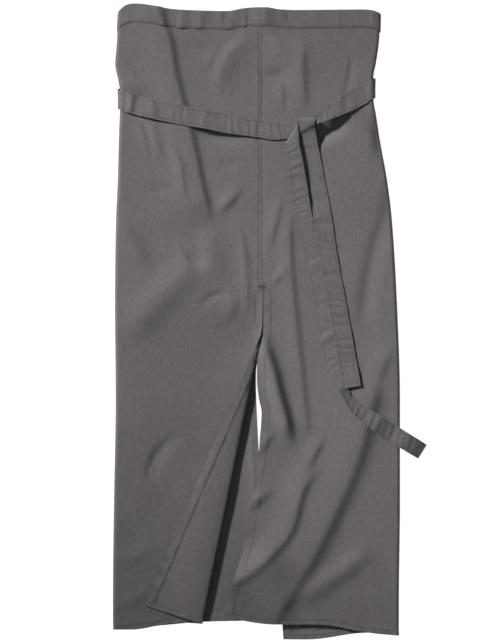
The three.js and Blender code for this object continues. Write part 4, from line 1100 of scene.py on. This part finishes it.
def twill(name, tone):
    made = bpy.data.materials.new(name)
    made.use_nodes = True
    nodes, links = made.node_tree.nodes, made.node_tree.links
    shader = nodes["Principled BSDF"]
    cloth = nodes.new("ShaderNodeUVMap")
    cloth.uv_map = "cloth"

    def placed(scale, turn=0.0):
        mapping = nodes.new("ShaderNodeMapping")
        set_inputs(mapping, {"Scale": scale, "Rotation": (0, 0, turn)})
        links.new(cloth.outputs["UV"], mapping.inputs["Vector"])
        return mapping.outputs["Vector"]

    def noise(stretch, scale, detail):
        node = nodes.new("ShaderNodeTexNoise")
        set_inputs(node, {"Scale": scale, "Detail": detail})
        links.new(placed(stretch), node.inputs["Vector"])
        return node.outputs["Fac"]

    def blend(factor, low, high):
        ramp = nodes.new("ShaderNodeMapRange")
        set_inputs(ramp, {"To Min": low, "To Max": high})
        links.new(factor, ramp.inputs["Value"])
        return ramp.outputs["Result"]

    def product(a, b):
        node = nodes.new("ShaderNodeMath")
        node.operation = "MULTIPLY"
        links.new(a, node.inputs[0])
        links.new(b, node.inputs[1])
        return node.outputs["Value"]

    wave = nodes.new("ShaderNodeTexWave")
    set_inputs(wave, {"Scale": WAVE_PERIOD / RIB_PITCH, "Distortion": RIB_WANDER})
    links.new(placed((1, 1, 1), RIB_SLANT), wave.inputs["Vector"])
    ribs = wave.outputs["Fac"]
    yarns = noise(YARN_SCALE, scale=1, detail=3)
    slubs = noise(SLUB_SCALE, scale=1, detail=2)
    dye = noise((1, 1, 1), scale=DYE_SCALE, detail=4)
    shade = product(blend(ribs, *RIB_SHADE), blend(yarns, *YARN_SHADE))
    shade = product(shade, blend(slubs, *SLUB_SHADE))
    shade = product(shade, blend(dye, *(limit * tone for limit in DYE_SHADE)))
    tint = nodes.new("ShaderNodeMix")
    tint.data_type = "RGBA"
    tint.blend_type = "MULTIPLY"
    set_inputs(tint, {"Factor": 1, "A": (*TWILL_GREY, 1)})
    links.new(shade, tint.inputs["B"])
    links.new(tint.outputs["Result"], shader.inputs["Base Color"])
    relief = nodes.new("ShaderNodeBump")
    set_inputs(relief, {"Strength": BUMP_STRENGTH, "Distance": BUMP_DEPTH})
    links.new(product(ribs, yarns), relief.inputs["Height"])
    links.new(relief.outputs["Normal"], shader.inputs["Normal"])
    links.new(blend(yarns, *ROUGHNESS), shader.inputs["Roughness"])
    set_inputs(shader, {"Sheen Weight": SHEEN, "Sheen Roughness": SHEEN_ROUGHNESS})
    set_inputs(shader, {"Specular IOR Level": SPECULAR})
    return made


tie_stitches = [left_tie_stitches, right_tie_stitches]
# The thread's finish is the twill darkened a good deal, as painted shade of the stitch furrows.
finishes = (
    ("grey_twill", 1.0, list(panels.values())),
    ("band_twill", BAND_TONE, [waistband]),
    ("tie_twill", 1.0, [left_tie, right_tie]),
    ("thread", THREAD_PAINTED_SHADE, [left_stitches, right_stitches, band_stitches, *tie_stitches, bar_tack]),
)
for name, tone, pieces in finishes:
    finish = twill(name, tone)
    for piece in pieces:
        piece.data.materials.append(finish)

# %% [markdown]
# ## What each piece stands for
# Every piece rides on the one body of the frame. The five pieces of cloth hide the plain solids that they
# stand for.

# %% Tie the pieces to the frame
dressed = (
    (panels["left"], "left_panel", "left_twill", (0.44, 0.88), "folded", [left_stitches, bar_tack]),
    (panels["right"], "right_panel", "right_twill", (0.40, 0.89), "folded", [right_stitches]),
    (waistband, "waistband", "band_twill", (0.79, 0.055), "folded", [band_stitches]),
    (left_tie, "left_tie", "left_tie_twill", (0.027, left_route[1] * MM), "laid", [left_tie_stitches]),
    (right_tie, "right_tie", "right_tie_twill", (0.027, right_route[1] * MM), "laid", [right_tie_stitches]),
)
for piece, node, slot, flat, held, sewn in dressed:
    for part in (piece, *sewn):
        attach(part, "root")
    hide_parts(node)
    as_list(sewn)
    print(piece.name, "stands for", node, "with", len(sewn), "sewn pieces")
